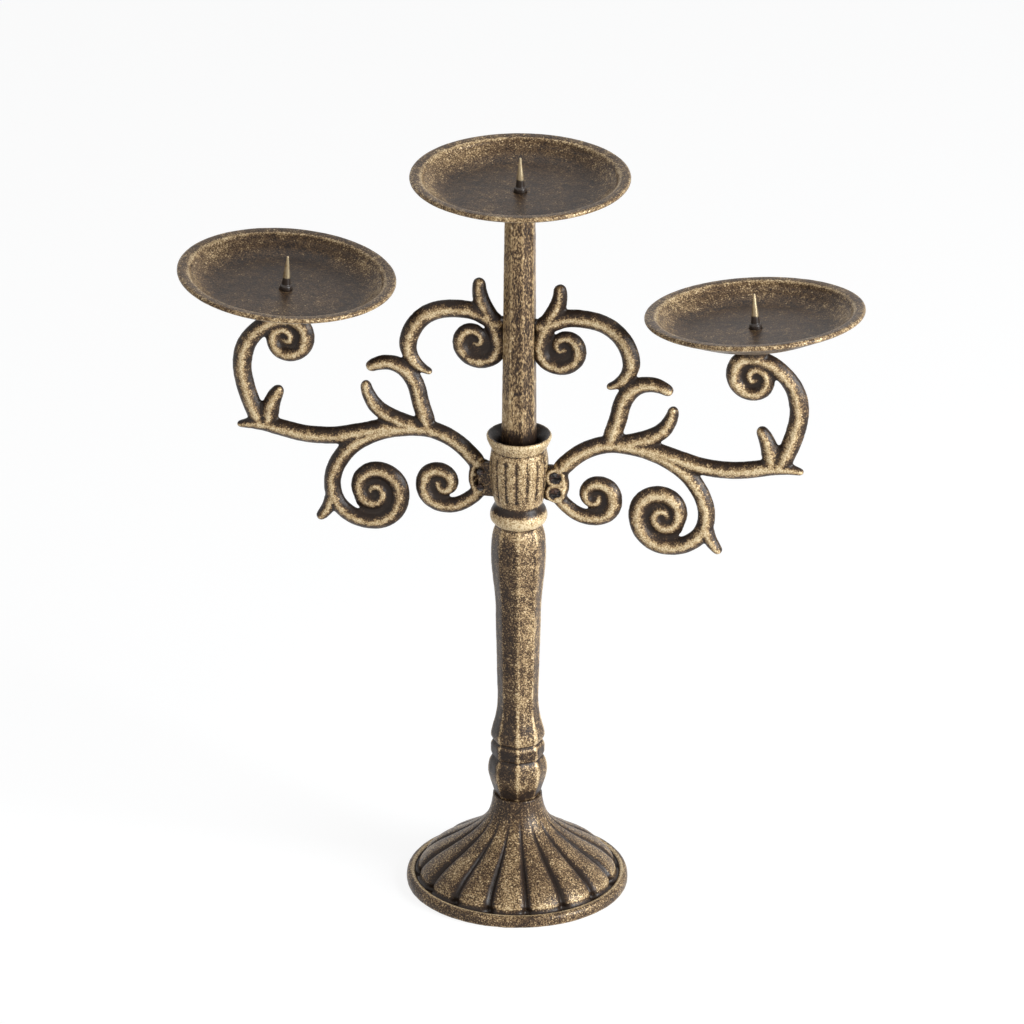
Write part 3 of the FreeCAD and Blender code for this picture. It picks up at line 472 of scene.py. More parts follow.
# %% A smooth line through a few points, sampled at even steps
def smooth_line(points, step):
    """Solves for the bend at each point, then samples the cubics evenly along their length."""
    points = np.array(points, float)
    if len(points) < 3:
        count = max(int(round(np.linalg.norm(points[-1] - points[0]) / step)), 1)
        return points[0] + (points[-1] - points[0]) * np.linspace(0, 1, count + 1)[:, None]
    at = np.concatenate([[0], np.cumsum(np.linalg.norm(np.diff(points, axis=0), axis=1))])
    gap = np.diff(at)
    size = len(points)
    system = np.eye(size)
    target = np.zeros_like(points)
    inner = np.arange(1, size - 1)
    system[inner, inner - 1] = gap[:-1]
    system[inner, inner] = 2 * (gap[:-1] + gap[1:])
    system[inner, inner + 1] = gap[1:]
    slope = np.diff(points, axis=0) / gap[:, None]
    target[1:-1] = 6 * np.diff(slope, axis=0)
    bend = np.linalg.solve(system, target)
    dense = np.linspace(0, at[-1], 40 * size)
    k = np.clip(np.searchsorted(at, dense, side="right") - 1, 0, size - 2)
    before = (at[k + 1] - dense)[:, None]
    after = (dense - at[k])[:, None]
    wide = gap[k][:, None]
    line = (bend[k] * before ** 3 + bend[k + 1] * after ** 3) / (6 * wide)
    line += (points[k] / wide - bend[k] * wide / 6) * before
    line += (points[k + 1] / wide - bend[k + 1] * wide / 6) * after
    length = np.concatenate([[0], np.cumsum(np.linalg.norm(np.diff(line, axis=0), axis=1))])
    even = np.linspace(0, length[-1], max(int(round(length[-1] / step)), 2) + 1)
    return np.stack([np.interp(even, length, line[:, axis]) for axis in range(line.shape[1])], -1)


def end_to_end(*lines):
    """Several lines as one, each starting where the one before it stopped."""
    return np.concatenate([lines[0], *[line[1:] for line in lines[1:]]])


def outline(start, *stretches):
    """Smooth lines end to end from start; a stretch is its step and the points it runs through."""
    lines = []
    for step, *points in stretches:
        lines.append(smooth_line([start, *points], step))
        start = points[-1]
    return end_to_end(*lines)


def outward(profile):
    """The direction square to a profile, to the right of its run."""
    run = np.gradient(profile, axis=0)
    run /= np.linalg.norm(run, axis=1)[:, None]
    return np.stack([run[:, 1], -run[:, 0]], -1)


def standing_line(profile, spread, full):
    """tanh(d / full), d being how far a point stands out from the line averaged over spread."""
    span = np.linalg.norm(np.diff(profile, axis=0), axis=1).mean()
    reach = max(int(round(spread / span)), 1)
    weight = np.hanning(2 * reach + 3)[1:-1]
    weight /= weight.sum()
    looped = np.concatenate([profile[-reach - 1:], profile, profile[:reach + 1]])
    mean = np.stack([np.convolve(looped[:, axis], weight, "same") for axis in (0, 1)], -1)
    lift = ((profile - mean[reach + 1:-reach - 1]) * outward(profile)).sum(1)
    return np.tanh(lift / full)[:, None]


# %% [markdown]
# ## The foot
# Sixteen lobes run down a bell from the neck to a plain rim. They are nearly flat across, with
# rounded shoulders, rounded ends and narrow grooves between them, and a groove runs round inside
# the rim. Lobes could be modelled one by one and joined, but that leaves seams. Instead the
# profile is turned round the axis, and a formula of the angle presses the grooves in square to it.

# %% The foot's outline, from the rim's underside up over the lobes and back down the hollow
LOBES = 16
LOBE_START = radians(16.9 - 90)
LOBE_STEP = 0.6
GROOVE_DEEP = 2.6
GROOVE_TOP_DEEP = 0.02
ROD_HOLE = 3.5
HUB_LOW = FOOT_TALL - 9
HUB_RADIUS = 9.0
RIM_UNDER = (FOOT_RADIUS - 1.0, 0)
RIM_DITCH = (FOOT_RADIUS - 4.3, 4.5)
RIM_INSIDE = (FOOT_RADIUS - 5.4, 0)
NECK = (11.3, FOOT_TALL)

foot_rim = smooth_line([
    RIM_UNDER, (FOOT_RADIUS - 0.3, 0.5), (FOOT_RADIUS, 1.7), (FOOT_RADIUS - 0.1, 3.6),
    (FOOT_RADIUS - 0.8, 5.0), (FOOT_RADIUS - 2.0, 5.5), (FOOT_RADIUS - 3.3, 5.3), RIM_DITCH,
], 0.35)
foot_lobe = smooth_line([
    RIM_DITCH, (FOOT_RADIUS - 5.1, 5.3), (FOOT_RADIUS - 5.8, 7.5), (FOOT_RADIUS - 7.3, 9.9),
    (FOOT_RADIUS - 11.3, 13.7), (30.3, 20.0), (21.4, 26.0), (15.2, 32.0), (12.4, 38.0), NECK,
], LOBE_STEP)
foot_hollow = outline(
    NECK,
    (0.8, (ROD_HOLE, FOOT_TALL)),
    (1.0, (ROD_HOLE, HUB_LOW)),
    (0.8, (HUB_RADIUS, HUB_LOW)),
    (0.9, (12.0, 28.0), (21.1, 17.7), (31.0, 10.6), (41.0, 4.5), RIM_INSIDE),
    (0.8, RIM_UNDER),
)
print("foot outline points:", len(foot_rim), len(foot_lobe), len(foot_hollow))


# %% A profile turned round the axis
def turned(profile, columns):
    """Carries a profile (radius, height) round the axis: x = r cos a, y = r sin a."""
    angle = np.arange(columns) * tau / columns
    radius, height = profile[:, :1], profile[:, 1:]
    return np.stack([radius * np.cos(angle), radius * np.sin(angle), height + 0 * angle], -1), angle


# %% The foot's surface and the gold on it
LOBE_END_LONG = 5.5
LOBE_END_NARROW = 0.70
FLAT_POWER = 7.0
NECK_POWER = 3.0
CROWN = 0.16
GROOVE_FADE = (0.15, 0.92)
FLAT_FADE = (0.45, 1.0)
NECK_FROM = (0.70, 0.95)
LOBE_GOLD = {"plain": 0.54, "shoulders": 0.12, "round_ends": 0.26, "grooves": -0.95, "neck": -0.22}
RIM_GOLD = {"plain": 0.36, "relief": 0.42, "crest": 0.95}
DITCH_GOLD = -0.8
HOLLOW_GOLD = 0.32


def foot_surface(columns=LOBES * 24):
    """The turned profile, sunk between the lobes by depth * (c a^2 + (1 - c) a^p).

    a runs from 0 along a lobe's middle to 1 in the groove, c is the share of an even crown, and
    a high power p keeps the lobe flat up to its shoulders.
    """
    profile = end_to_end(foot_rim, foot_lobe, foot_hollow)[:-1]
    grid, angle = turned(profile, columns)
    start = len(foot_rim) - 1
    stop = start + len(foot_lobe)
    share = np.linspace(0, 1, stop - start)[:, None]
    length = share * LOBE_STEP * (stop - start)
    across = np.abs(((angle - LOBE_START) / tau * LOBES) % 1 * 2 - 1)[None, :]
    rounding = np.sqrt(1 - (1 - np.clip(length / LOBE_END_LONG, 0, 1)) ** 2)
    across = np.clip(across / (LOBE_END_NARROW + (1 - LOBE_END_NARROW) * rounding), 0, 1)
    power = FLAT_POWER + (NECK_POWER - FLAT_POWER) * smooth_step(share, *FLAT_FADE)
    sunk = CROWN * across ** 2 + (1 - CROWN) * across ** power
    depth = GROOVE_DEEP + (GROOVE_TOP_DEEP - GROOVE_DEEP) * smooth_step(share, *GROOVE_FADE)
    depth = depth * np.clip(length, 0, 1)
    side = outward(profile)[start:stop]
    push = -(depth * sunk)[..., None]
    turn = np.stack([np.cos(angle), np.sin(angle)], -1)[None]
    grid[start:stop, :, :2] += push * side[:, None, :1] * turn
    grid[start:stop, :, 2:] += push * side[:, None, 1:]
    radius, height = profile[:, :1], profile[:, 1:]
    rim = gold_on(RIM_GOLD, {
        "relief": standing_line(profile, 2.4, 0.25),
        "crest": hill(radius, FOOT_RADIUS - 3.0, 0.8) * smooth_step(height, 3.5, 5.0),
    })
    lobes = gold_on(LOBE_GOLD, {
        "shoulders": hill(across, 0.66, 0.14),
        "round_ends": hill(length, 2.0, 1.6) * (1 - across ** 3),
        "grooves": across ** (0.55 * power) * np.clip(depth / 1.3, 0, 1) ** 0.7,
        "neck": smooth_step(share, *NECK_FROM),
    })
    ditch = hill(radius, FOOT_RADIUS - 4.6, 1.05) * (height < 6.6) * (height > 1)
    wear_and_shade = np.full(grid.shape[:2], HOLLOW_GOLD)
    wear_and_shade[:start] = rim[:start]
    wear_and_shade[start:stop] = lobes
    wear_and_shade[:stop] += DITCH_GOLD * ditch[:stop]
    return grid, np.clip(wear_and_shade, 0, 1)


# %% [markdown]
# ## The stem
# Its lower part is an eight-sided baluster: a bulb, a band, a flared knob and a long shaft that
# swells towards the top. Its upper part is round: a bead, a vase with sixteen flutes and a dished
# collar that the post stands in. Turned pieces could be stacked up, but the real stem is one
# casting, so one grid does all of it, and its section changes from an octagon to a circle at the
# bead.

# %% The stem's outline in half widths over the corners: bulb, band, shaft, bead, vase, collar
BEAD_LOW = 182.6
VASE_LOW = 193.0
VASE_HIGH = 220.4
SOCKET_EDGE = (8.9, 221.0)
STEM_FOOT = (10.7, 45.0)
STEM_STEP = 0.62
STEM_LINES = [
    [(11.6, 48.0), (13.1, 52.7), (13.95, 57.3), (13.6, 60.9), (12.9, 63.2), (11.8, 64.8)],
    [(12.4, 65.5), (12.7, 66.8), (12.7, 69.2), (12.45, 71.2), (11.3, 72.5)],
    [(12.3, 73.6), (12.7, 75.4), (12.35, 77.8), (11.6, 80.6), (10.7, 84.0), (10.0, 88.0),
     (9.6, 92.5), (9.75, 100), (10.1, 115), (10.55, 132), (10.95, 145), (11.85, 153), (12.6, 161),
     (12.9, 168), (12.6, 174.5), (11.8, 179.2), (10.6, BEAD_LOW)],
    [(12.1, 183.9), (13.1, 186.0), (13.0, 188.0), (12.2, 190.2), (11.2, 191.9), (10.9, VASE_LOW)],
    [(11.9, 197.0), (12.9, 203.0), (13.45, 209.5), (13.3, 215.5), (12.4, VASE_HIGH)],
    [(12.9, 221.2), (13.8, 222.9), (14.6, 224.8), (14.9, 226.1), (14.6, 226.9),
     (14.1, COLLAR_TOP), (13.3, 226.8), (11.4, 225.0), (9.8, 222.9), SOCKET_EDGE],
]
stem_side = outline(STEM_FOOT, *[(STEM_STEP, *points) for points in STEM_LINES])
stem_bore = outline(
    SOCKET_EDGE,
    (STEM_STEP, (SOCKET_EDGE[0], SOCKET_FLOOR)),
    (STEM_STEP, (ROD_HOLE, SOCKET_FLOOR)),
    (4.0, (ROD_HOLE, FOOT_TALL)),
    (1.2, (STEM_FOOT[0], FOOT_TALL)),
)
print("stem outline points:", len(stem_side), len(stem_bore))


# %% An octagon as a function of the angle
EIGHTH = tau / 8
CORNER_CUT = 0.022


def octagon_share(angle, corner):
    """Radius over corner radius: cos(22.5) / cos(angle from a flat's middle), corners eased."""
    from_flat = np.abs((angle - corner) % EIGHTH - EIGHTH / 2)
    sharp = cos(EIGHTH / 2) / np.cos(from_flat)
    return sharp - CORNER_CUT * hill(from_flat, EIGHTH / 2, 0.10), from_flat


# %% Where the stem's parts begin and end, as pairs of heights, and the gold on each
STEM_CORNER = radians(11.25)
FLUTES = 16
FLUTE_START = radians(6 - 90)
FLUTE_WIDE_DEEP = 0.20
FLUTE_DEEP = 0.60
# Painted shade under the bulb: its foot gets less gold.
BULB_FOOT_SHADE = (46.5, 56.0)
KNOB_FROM = (52.0, 58.0)
BAND_FROM = (65.4, 66.4)
BAND_TO = (70.6, 71.6)
SHAFT_FROM = (84.0, 96.0)
SHAFT_TO = (172.0, 180.0)
ROUND_FROM = (BEAD_LOW - 1.5, BEAD_LOW + 1.0)
BEAD_FROM = (BEAD_LOW - 1, BEAD_LOW + 1)
# Painted shade on the bead's upper side, which faces up.
BEAD_TOP_SHADE = (188.4, 190.8)
BEAD_TO = (VASE_LOW - 1, VASE_LOW + 1)
VASE_FROM = (VASE_LOW - 2.0, VASE_LOW + 2.0)
FLUTE_FROM = (VASE_LOW + 2.2, VASE_LOW + 5.0)
FLUTE_TO = (VASE_HIGH - 4.2, VASE_HIGH - 1.6)
COLLAR_FROM = (VASE_HIGH, VASE_HIGH + 1.5)
# Painted light on the stem's sides: the knob's and the shaft's left sides get less gold as painted shade,
# the facet right of the middle gets a little more as a painted highlight, and the far right facet gets
# less, a painted stand-in for the grey sheen that the key lamp leaves there.
SHEEN_SHADE_FACET = radians(348.75)
LIT_FACET = radians(303.75)
FACET_WIDE = 0.36
SHADED_SIDE_WAY = radians(-150)
STEM_GOLD = {
    "plain": 0.52, "relief": 0.42, "corners": 0.34, "flutes": -0.50, "bulb_foot_shade": -0.48,
    "knob": -0.12, "knob_corners": 0.18, "knob_left_shade": -0.30, "knob_band": -0.14,
    "shaft_corners": -0.18, "shaft_lit_highlight": 0.06, "shaft_right_sheen_shade": -0.14, "shaft_left_shade": -0.21,
    "bead": 0.34, "bead_top_shade": -0.70, "vase": 0.20, "collar": 0.30,
}
BORE_GOLD = 0.02


# %% The stem's surface
def stem_surface(columns=192):
    """Outline times section: an octagon below the bead, a circle above it, flutes pressed in."""
    profile = end_to_end(stem_side, stem_bore)[:-1]
    grid, angle = turned(profile, columns)
    height = profile[:, 1:]
    row = np.arange(len(profile))[:, None]
    on_side = row < len(stem_side)
    share, from_flat = octagon_share(angle, STEM_CORNER)
    below = 1 - smooth_step(height, *ROUND_FROM)
    section = 1 + (share[None] - 1) * below * on_side
    flute = np.abs(((angle - FLUTE_START) / tau * FLUTES + 0.5) % 1 * 2 - 1)[None]
    groove = (1 - flute) ** 2
    along = over(height, FLUTE_FROM, FLUTE_TO)
    pressed = (FLUTE_WIDE_DEEP * groove + FLUTE_DEEP * groove ** 3) * along * on_side
    radius = profile[:, :1] * section - pressed
    grid[..., 0] = radius * np.cos(angle)
    grid[..., 1] = radius * np.sin(angle)
    corner = hill(from_flat, EIGHTH / 2, 0.08)[None] * below
    # Painted shade on the left side, a painted highlight on the lit facet and painted sheen-shade on the
    # far right facet.
    left = np.clip(np.cos(angle - SHADED_SIDE_WAY), 0, 1)[None]
    right = hill(angle, SHEEN_SHADE_FACET, FACET_WIDE)[None]
    lit = hill(angle, LIT_FACET, FACET_WIDE)[None]
    knob = over(height, KNOB_FROM, SHAFT_FROM)
    shaft = over(height, SHAFT_FROM, SHAFT_TO)
    bead = over(height, BEAD_FROM, BEAD_TO)
    wear_and_shade = gold_on(STEM_GOLD, {
        "relief": standing_line(profile, 2.6, 0.30),
        "corners": corner,
        "flutes": groove ** 2 * along,
        "bulb_foot_shade": (1 - smooth_step(height, *BULB_FOOT_SHADE)) * on_side,
        "knob": knob,
        "knob_corners": knob * corner,
        "knob_left_shade": knob * left,
        "knob_band": knob * over(height, BAND_FROM, BAND_TO),
        "shaft_corners": shaft * corner,
        "shaft_lit_highlight": shaft * lit,
        "shaft_right_sheen_shade": shaft * right,
        "shaft_left_shade": shaft * left,
        "bead": bead,
        "bead_top_shade": bead * smooth_step(height, *BEAD_TOP_SHADE),
        "vase": over(height, VASE_FROM, COLLAR_FROM),
        "collar": smooth_step(height, *COLLAR_FROM),
    })
    inside = row >= np.argmax(height)
    return grid, np.clip(np.where(inside, BORE_GOLD, wear_and_shade), 0, 1)


# %% [markdown]
# ## The post
# An eight-sided bar that tapers a little upwards. Its flats face along the arms and across them.
# A cone of eight sides would do for the shape, but the stem's octagon is used again, because it
# eases the corners and its grid can carry a value of gold and painted shade for each point.

# %% The post, with both ends closed
POST_TOP_HALF = 6.7
POST_STEP = 0.8
CLOSED = 0.01
# Painted shade: the post's right-front flats get less gold, a painted stand-in for the key lamp's grey
# sheen.
POST_SHEEN_WAY = radians(-45)
COLLAR_SHADE = (COLLAR_TOP - 1, COLLAR_TOP + 6)
POST_GOLD = {"plain": 0.61, "corners": 0.18, "right": -0.20, "painted_collar_shade": -0.45}


def post_surface(columns=128):
    """Flats' half width runs evenly from foot to top; the first and last rows close to a point."""
    rows = np.arange(SOCKET_FLOOR, POST_TOP, POST_STEP)
    height = np.concatenate([[SOCKET_FLOOR], rows, [POST_TOP, POST_TOP]])[:, None]
    risen = (height - SOCKET_FLOOR) / (POST_TOP - SOCKET_FLOOR)
    half = POST_FOOT_HALF + (POST_TOP_HALF - POST_FOOT_HALF) * risen
    half[0] = half[-1] = CLOSED
    angle = np.arange(columns)[None] * tau / columns
    share, from_flat = octagon_share(angle, EIGHTH / 2)
    radius = half / cos(EIGHTH / 2) * share
    grid = np.stack([radius * np.cos(angle), radius * np.sin(angle), height + 0 * angle], -1)
    wear_and_shade = gold_on(POST_GOLD, {
        "corners": hill(from_flat, EIGHTH / 2, 0.10),
        # right: painted shade for the sheen on the right-front flats.
        "right": np.clip(np.cos(angle - POST_SHEEN_WAY), 0, 1),
        # Painted shade where the post stands in the collar's dish.
        "painted_collar_shade": 1 - smooth_step(height, *COLLAR_SHADE),
    })
    return grid, np.clip(wear_and_shade, 0, 1)


# %% [markdown]
# ## The arms
# Each arm is one flat casting of curling bars with soft ridges front and back. A bar is a section
# carried along a smooth line, and a volute is such a line winding in on itself. Joining the bars
# by hand would take a long time at every crossing. Here they only overlap, and are then melted
# into one skin on a fine lattice. The skin is relaxed a little, which leaves the small fillets
# that a casting has.

# %% The arm's middle lines, in shares of its reach and of its scroll's height, and their widths
ARM_REACH = 108.6
SCROLL_FOOT = 160.0
SCROLL_TALL = 100.0
BAR_WIDE = 8.8
BAR_THICK = 7.4

ARM_BARS = {
    "root_and_big_volute": (
        [
            (0.161, 0.486), (0.207, 0.546), (0.279, 0.612), (0.330, 0.640), (0.385, 0.656), (0.449, 0.657),
            (0.513, 0.648), (0.578, 0.629), (0.633, 0.603), (0.685, 0.569), (0.728, 0.528), (0.763, 0.477),
            (0.789, 0.420), (0.801, 0.366), (0.800, 0.311), (0.784, 0.259), (0.754, 0.218), (0.712, 0.188),
            (0.661, 0.173), (0.606, 0.175), (0.556, 0.202), (0.522, 0.249), (0.510, 0.308), (0.518, 0.366),
            (0.549, 0.408), (0.594, 0.427), (0.642, 0.418), (0.675, 0.384), (0.686, 0.338), (0.672, 0.292),
            (0.635, 0.267), (0.598, 0.277), (0.582, 0.311), (0.594, 0.343), (0.621, 0.348), (0.637, 0.327),
        ],
        [1.0, 1.0, 1.0, 1.0, 1.0, 0.95, 0.98, 1.02, 1.04, 0.98, 0.86, 0.60],
    ),
    "small_volute": (
        [
            (0.153, 0.395), (0.179, 0.358), (0.210, 0.326), (0.249, 0.298), (0.296, 0.283), (0.343, 0.287),
            (0.384, 0.312), (0.404, 0.353), (0.404, 0.402), (0.387, 0.436), (0.357, 0.453), (0.325, 0.452),
            (0.299, 0.433), (0.288, 0.402), (0.296, 0.372), (0.318, 0.359), (0.340, 0.370), (0.347, 0.392),
        ],
        [0.8, 0.85, 0.90, 0.95, 0.95, 0.90, 0.76, 0.54],
    ),
    "horn_and_top_volute": (
        [
            (0.170, 1.430), (0.172, 1.374), (0.160, 1.314), (0.134, 1.255), (0.109, 1.198), (0.092, 1.142),
            (0.091, 1.092), (0.108, 1.050), (0.144, 1.026), (0.187, 1.022), (0.225, 1.042), (0.249, 1.081),
            (0.250, 1.122), (0.233, 1.155), (0.203, 1.169), (0.174, 1.158), (0.161, 1.131), (0.171, 1.107),
            (0.191, 1.108),
        ],
        [0.66, 0.90, 1.0, 1.0, 0.98, 0.96, 0.92, 0.86, 0.72, 0.54],
    ),
    "hook_and_outer_volute": (
        [
            (1.113, 0.620), (1.133, 0.672), (1.153, 0.724), (1.169, 0.776), (1.181, 0.827), (1.188, 0.877),
            (1.187, 0.927), (1.179, 0.975), (1.160, 1.023), (1.130, 1.066), (1.095, 1.102), (1.052, 1.130),
            (1.006, 1.144), (0.961, 1.140), (0.929, 1.115), (0.914, 1.073), (0.919, 1.025), (0.947, 0.987),
            (0.992, 0.972), (1.031, 0.988), (1.051, 1.025), (1.050, 1.067), (1.026, 1.092), (0.995, 1.089),
            (0.978, 1.064), (0.986, 1.039), (1.006, 1.040),
        ],
        [1.05, 1.05, 1.05, 1.08, 1.0, 0.98, 0.97, 0.95, 0.88, 0.74, 0.54],
    ),
    "up_bar": (
        [
            (0.389, 0.665), (0.410, 0.743), (0.426, 0.805), (0.438, 0.861), (0.459, 0.908), (0.492, 0.947),
            (0.534, 0.968), (0.577, 0.970), (0.619, 0.955), (0.654, 0.932),
        ],
        [1.05, 1.0, 1.0, 1.0, 0.95, 0.85, 0.62],
    ),
    "arc": (
        [
            (0.369, 0.938), (0.407, 0.954), (0.441, 0.980), (0.466, 1.020), (0.476, 1.068), (0.466, 1.122),
            (0.442, 1.174), (0.404, 1.219), (0.356, 1.249), (0.305, 1.263), (0.250, 1.267), (0.195, 1.261),
            (0.153, 1.244), (0.102, 1.219), (0.065, 1.212),
        ],
        [0.35, 0.75, 1.0, 1.03, 1.03, 1.03, 1.03, 1.05, 1.05],
    ),
    "centre_thorn": (
        [
            (0.652, 0.874), (0.655, 0.845), (0.643, 0.800), (0.614, 0.750), (0.568, 0.713), (0.513, 0.687),
            (0.449, 0.668), (0.395, 0.654),
        ],
        [0.56, 0.76, 0.9, 0.96, 1.0, 0.98, 0.85],
    ),
    "outer_bar": (
        [
            (0.535, 0.652), (0.586, 0.645), (0.641, 0.626), (0.706, 0.606), (0.770, 0.588), (0.834, 0.580),
            (0.897, 0.579), (0.961, 0.586), (1.024, 0.600), (1.088, 0.611), (1.143, 0.611), (1.185, 0.603),
            (1.215, 0.597),
        ],
        [0.85, 1.0, 1.0, 1.0, 1.0, 1.0, 0.98, 0.8, 0.34],
    ),
    "inner_thorn": (
        [(1.020, 0.809), (1.042, 0.769), (1.060, 0.724), (1.071, 0.675), (1.079, 0.627)],
        [0.6, 0.82, 0.95, 1.05, 1.1],
    ),
    "root_band": (
        [(0.161, 0.535), (0.186, 0.500), (0.199, 0.455), (0.196, 0.405), (0.170, 0.365)],
        [0.5, 0.44, 0.44, 0.5],
    ),
    "lower_thorn": (
        [(0.866, 0.157), (0.832, 0.201), (0.808, 0.251), (0.797, 0.300)],
        [0.5, 0.7, 0.85, 0.9],
    ),
}

# %% The webs that close the volutes: a middle in the same shares, and a radius in millimetres
WEBS = [((0.605, 0.303), 11.8), ((0.350, 0.368), 7.0), ((0.176, 1.095), 7.4), ((0.983, 1.057), 7.6)]
print("bars on each arm:", len(ARM_BARS), "webs:", len(WEBS))


# %% A ridged bar along a smooth line
def arm_points(shares):
    """Shares of the reach and of the height as x and z in millimetres."""
    return np.array(shares) * (ARM_REACH, SCROLL_TALL) + (0, SCROLL_FOOT)


def widths_along(line, widths):
    """The running length of a line, and its width, which changes evenly between the given ones."""
    length = np.concatenate([[0], np.cumsum(np.linalg.norm(np.diff(line, axis=0), axis=1))])
    return length, np.interp(length / length[-1], np.linspace(0, 1, len(widths)), widths)


def bar(line, widths, columns=24, power=1.4, step=0.6):
    """A ridged section |a|^p + |b|^p = 1 along the line; both ends are rounded off.

    Where the bar is narrower than BAR_WIDE it is also thinner, by the 0.6th power of its share.
    """
    line = smooth_line(line, step)
    length, width = widths_along(line, widths)
    thick = BAR_THICK * np.minimum(1, (width / BAR_WIDE) ** 0.6)
    for cap, distance in ((0.5 * width[0], length), (0.5 * width[-1], length[-1] - length)):
        closing = np.sqrt(np.clip(1 - (1 - distance / cap).clip(0, 1) ** 2, 1e-4, 1))
        width = width * closing
        thick = thick * closing
    side = outward(line)
    turn = np.arange(columns) * tau / columns
    a = np.sign(np.cos(turn)) * np.abs(np.cos(turn)) ** (2 / power)
    b = np.sign(np.sin(turn)) * np.abs(np.sin(turn)) ** (2 / power)
    flat = line[:, None, :] + side[:, None, :] * (0.5 * width[:, None] * a[None])[..., None]
    deep = 0.5 * thick[:, None] * b[None]
    return np.stack([flat[..., 0], deep, flat[..., 1]], -1)


def web(centre, radius, thick=2.6, columns=48):
    """A ball pressed flat to a thin lens, which closes a volute's grooves at their bottom."""
    across = np.linspace(0, pi, 9)[:, None]
    angle = np.arange(columns)[None] * tau / columns
    x = centre[0] + radius * np.sin(across) * np.cos(angle)
    z = centre[1] + radius * np.sin(across) * np.sin(angle)
    return np.stack([x, -0.5 * thick * np.cos(across) + 0 * angle, z], -1)[::-1]


def rounded_block(low_corner, high_corner, power=5.0, columns=40):
    """A superellipsoid: a ball whose sines and cosines are raised to 2 / power."""
    low_corner, high_corner = np.array(low_corner, float), np.array(high_corner, float)
    middle, half = (low_corner + high_corner) / 2, (high_corner - low_corner) / 2
    up = np.linspace(-pi / 2, pi / 2, 24)[:, None]
    angle = np.arange(columns)[None] * tau / columns

    def bent(value):
        """The value's power 2 / power, with its sign kept."""
        return np.sign(value) * np.abs(value) ** (2 / power)

    ball = np.stack([
        bent(np.cos(up)) * bent(np.cos(angle)), bent(np.cos(up)) * bent(np.sin(angle)),
        bent(np.sin(up)) + 0 * angle,
    ], -1)
    return middle + half * ball


def ring(centre, radius, tube, columns=40, sides=14):
    """A ring round the Y axis, as a bar bent into a circle."""
    around = np.arange(columns)[:, None] * tau / columns
    section = np.arange(sides)[None] * tau / sides
    reach = radius + tube * np.cos(section)
    return np.stack([
        centre[0] + reach * np.cos(around), centre[1] + tube * np.sin(section) + 0 * around,
        centre[2] + reach * np.sin(around),
    ], -1)


# %% One arm's bars, lug and pan seat
SCREW_REACH = 17.4
SCREW_LOW = 199.7
SCREW_HIGH = 207.5
LUG_RADIUS = 4.5
LUG_BAND_LOW = (10.9, -1.9, 195.2)
LUG_BAND_HIGH = (SCREW_REACH + 3.8, -0.1, 212.0)
RECESS_FRONT = -2.1
RECESS_RADIUS = 3.75
RECESS_WIRE = 1.15


def arm_bars():
    """Capped tubes and closed rings of the right arm, in the XZ plane."""
    capped = [
        bar(arm_points(line), [share * BAR_WIDE for share in widths])
        for line, widths in ARM_BARS.values()
    ]
    capped += [web(arm_points([centre])[0], radius) for centre, radius in WEBS]
    capped.append(rounded_block(LUG_BAND_LOW, LUG_BAND_HIGH))
    rings = [
        ring((SCREW_REACH, RECESS_FRONT, z), RECESS_RADIUS, RECESS_WIRE) for z in (SCREW_LOW, SCREW_HIGH)
    ]
    return capped, rings


# %% The pans' seats: a place and a lean
SEAT_HEIGHT = 287.0
PAN_LEAN = radians(4.0)
LEFT_FORWARD = radians(0.5)
RIGHT_BACK = radians(4.4)


def seat_turn(side, back):
    """The pans on the arms lean inwards, and by a small angle towards the back."""
    return np.array(Matrix.Rotation(-back, 3, "X") @ Matrix.Rotation(-side * PAN_LEAN, 3, "Y"))


SEATS = {
    "left": (np.array([-ARM_REACH, 0, SEAT_HEIGHT]), seat_turn(-1, -LEFT_FORWARD)),
    "centre": (np.array([0, 0, POST_TOP]), np.eye(3)),
    "right": (np.array([ARM_REACH, 0, SEAT_HEIGHT]), seat_turn(1, RIGHT_BACK)),
}


def placed(grid, seat):
    """The grid turned by the seat's lean and moved to the seat's place."""
    return seat[0] + grid @ seat[1].T


def seat_boss(seat):
    """A short cone that widens upwards to the pan's seat."""
    profile = np.array([
        (CLOSED, -13.3), (3.4, -13.3), (4.6, -9.8), (6.2, -6.9), (7.5, -4.8), (7.5, -0.05), (CLOSED, -0.05),
    ])
    grid, _ = turned(profile, 48)
    return placed(grid, seat)


# %% Turned pieces: the foot, the stem with its ears, and the post
EAR_REACH = SCREW_REACH + LUG_RADIUS
EAR_LOW = SCREW_LOW - LUG_RADIUS
EAR_HIGH = SCREW_HIGH + LUG_RADIUS
EAR_GOLD = 0.40


def add_turned(name, capped=(), closed=(), **more):
    """Puts grids and their values of gold and painted shade into one mesh; the fans' middle points come
    last.
    """
    mesh = mesh_from(name, [grid for grid, _ in capped], [grid for grid, _ in closed])
    with_ends = [np.append(wear_and_shade.ravel(), [wear_and_shade[0].mean(), wear_and_shade[-1].mean()]) for _, wear_and_shade in capped]
    wear_and_shade = np.concatenate(with_ends + [wear_and_shade.ravel() for _, wear_and_shade in closed])
    add_piece(name, mesh, wear_and_shade=wear_and_shade, **more)


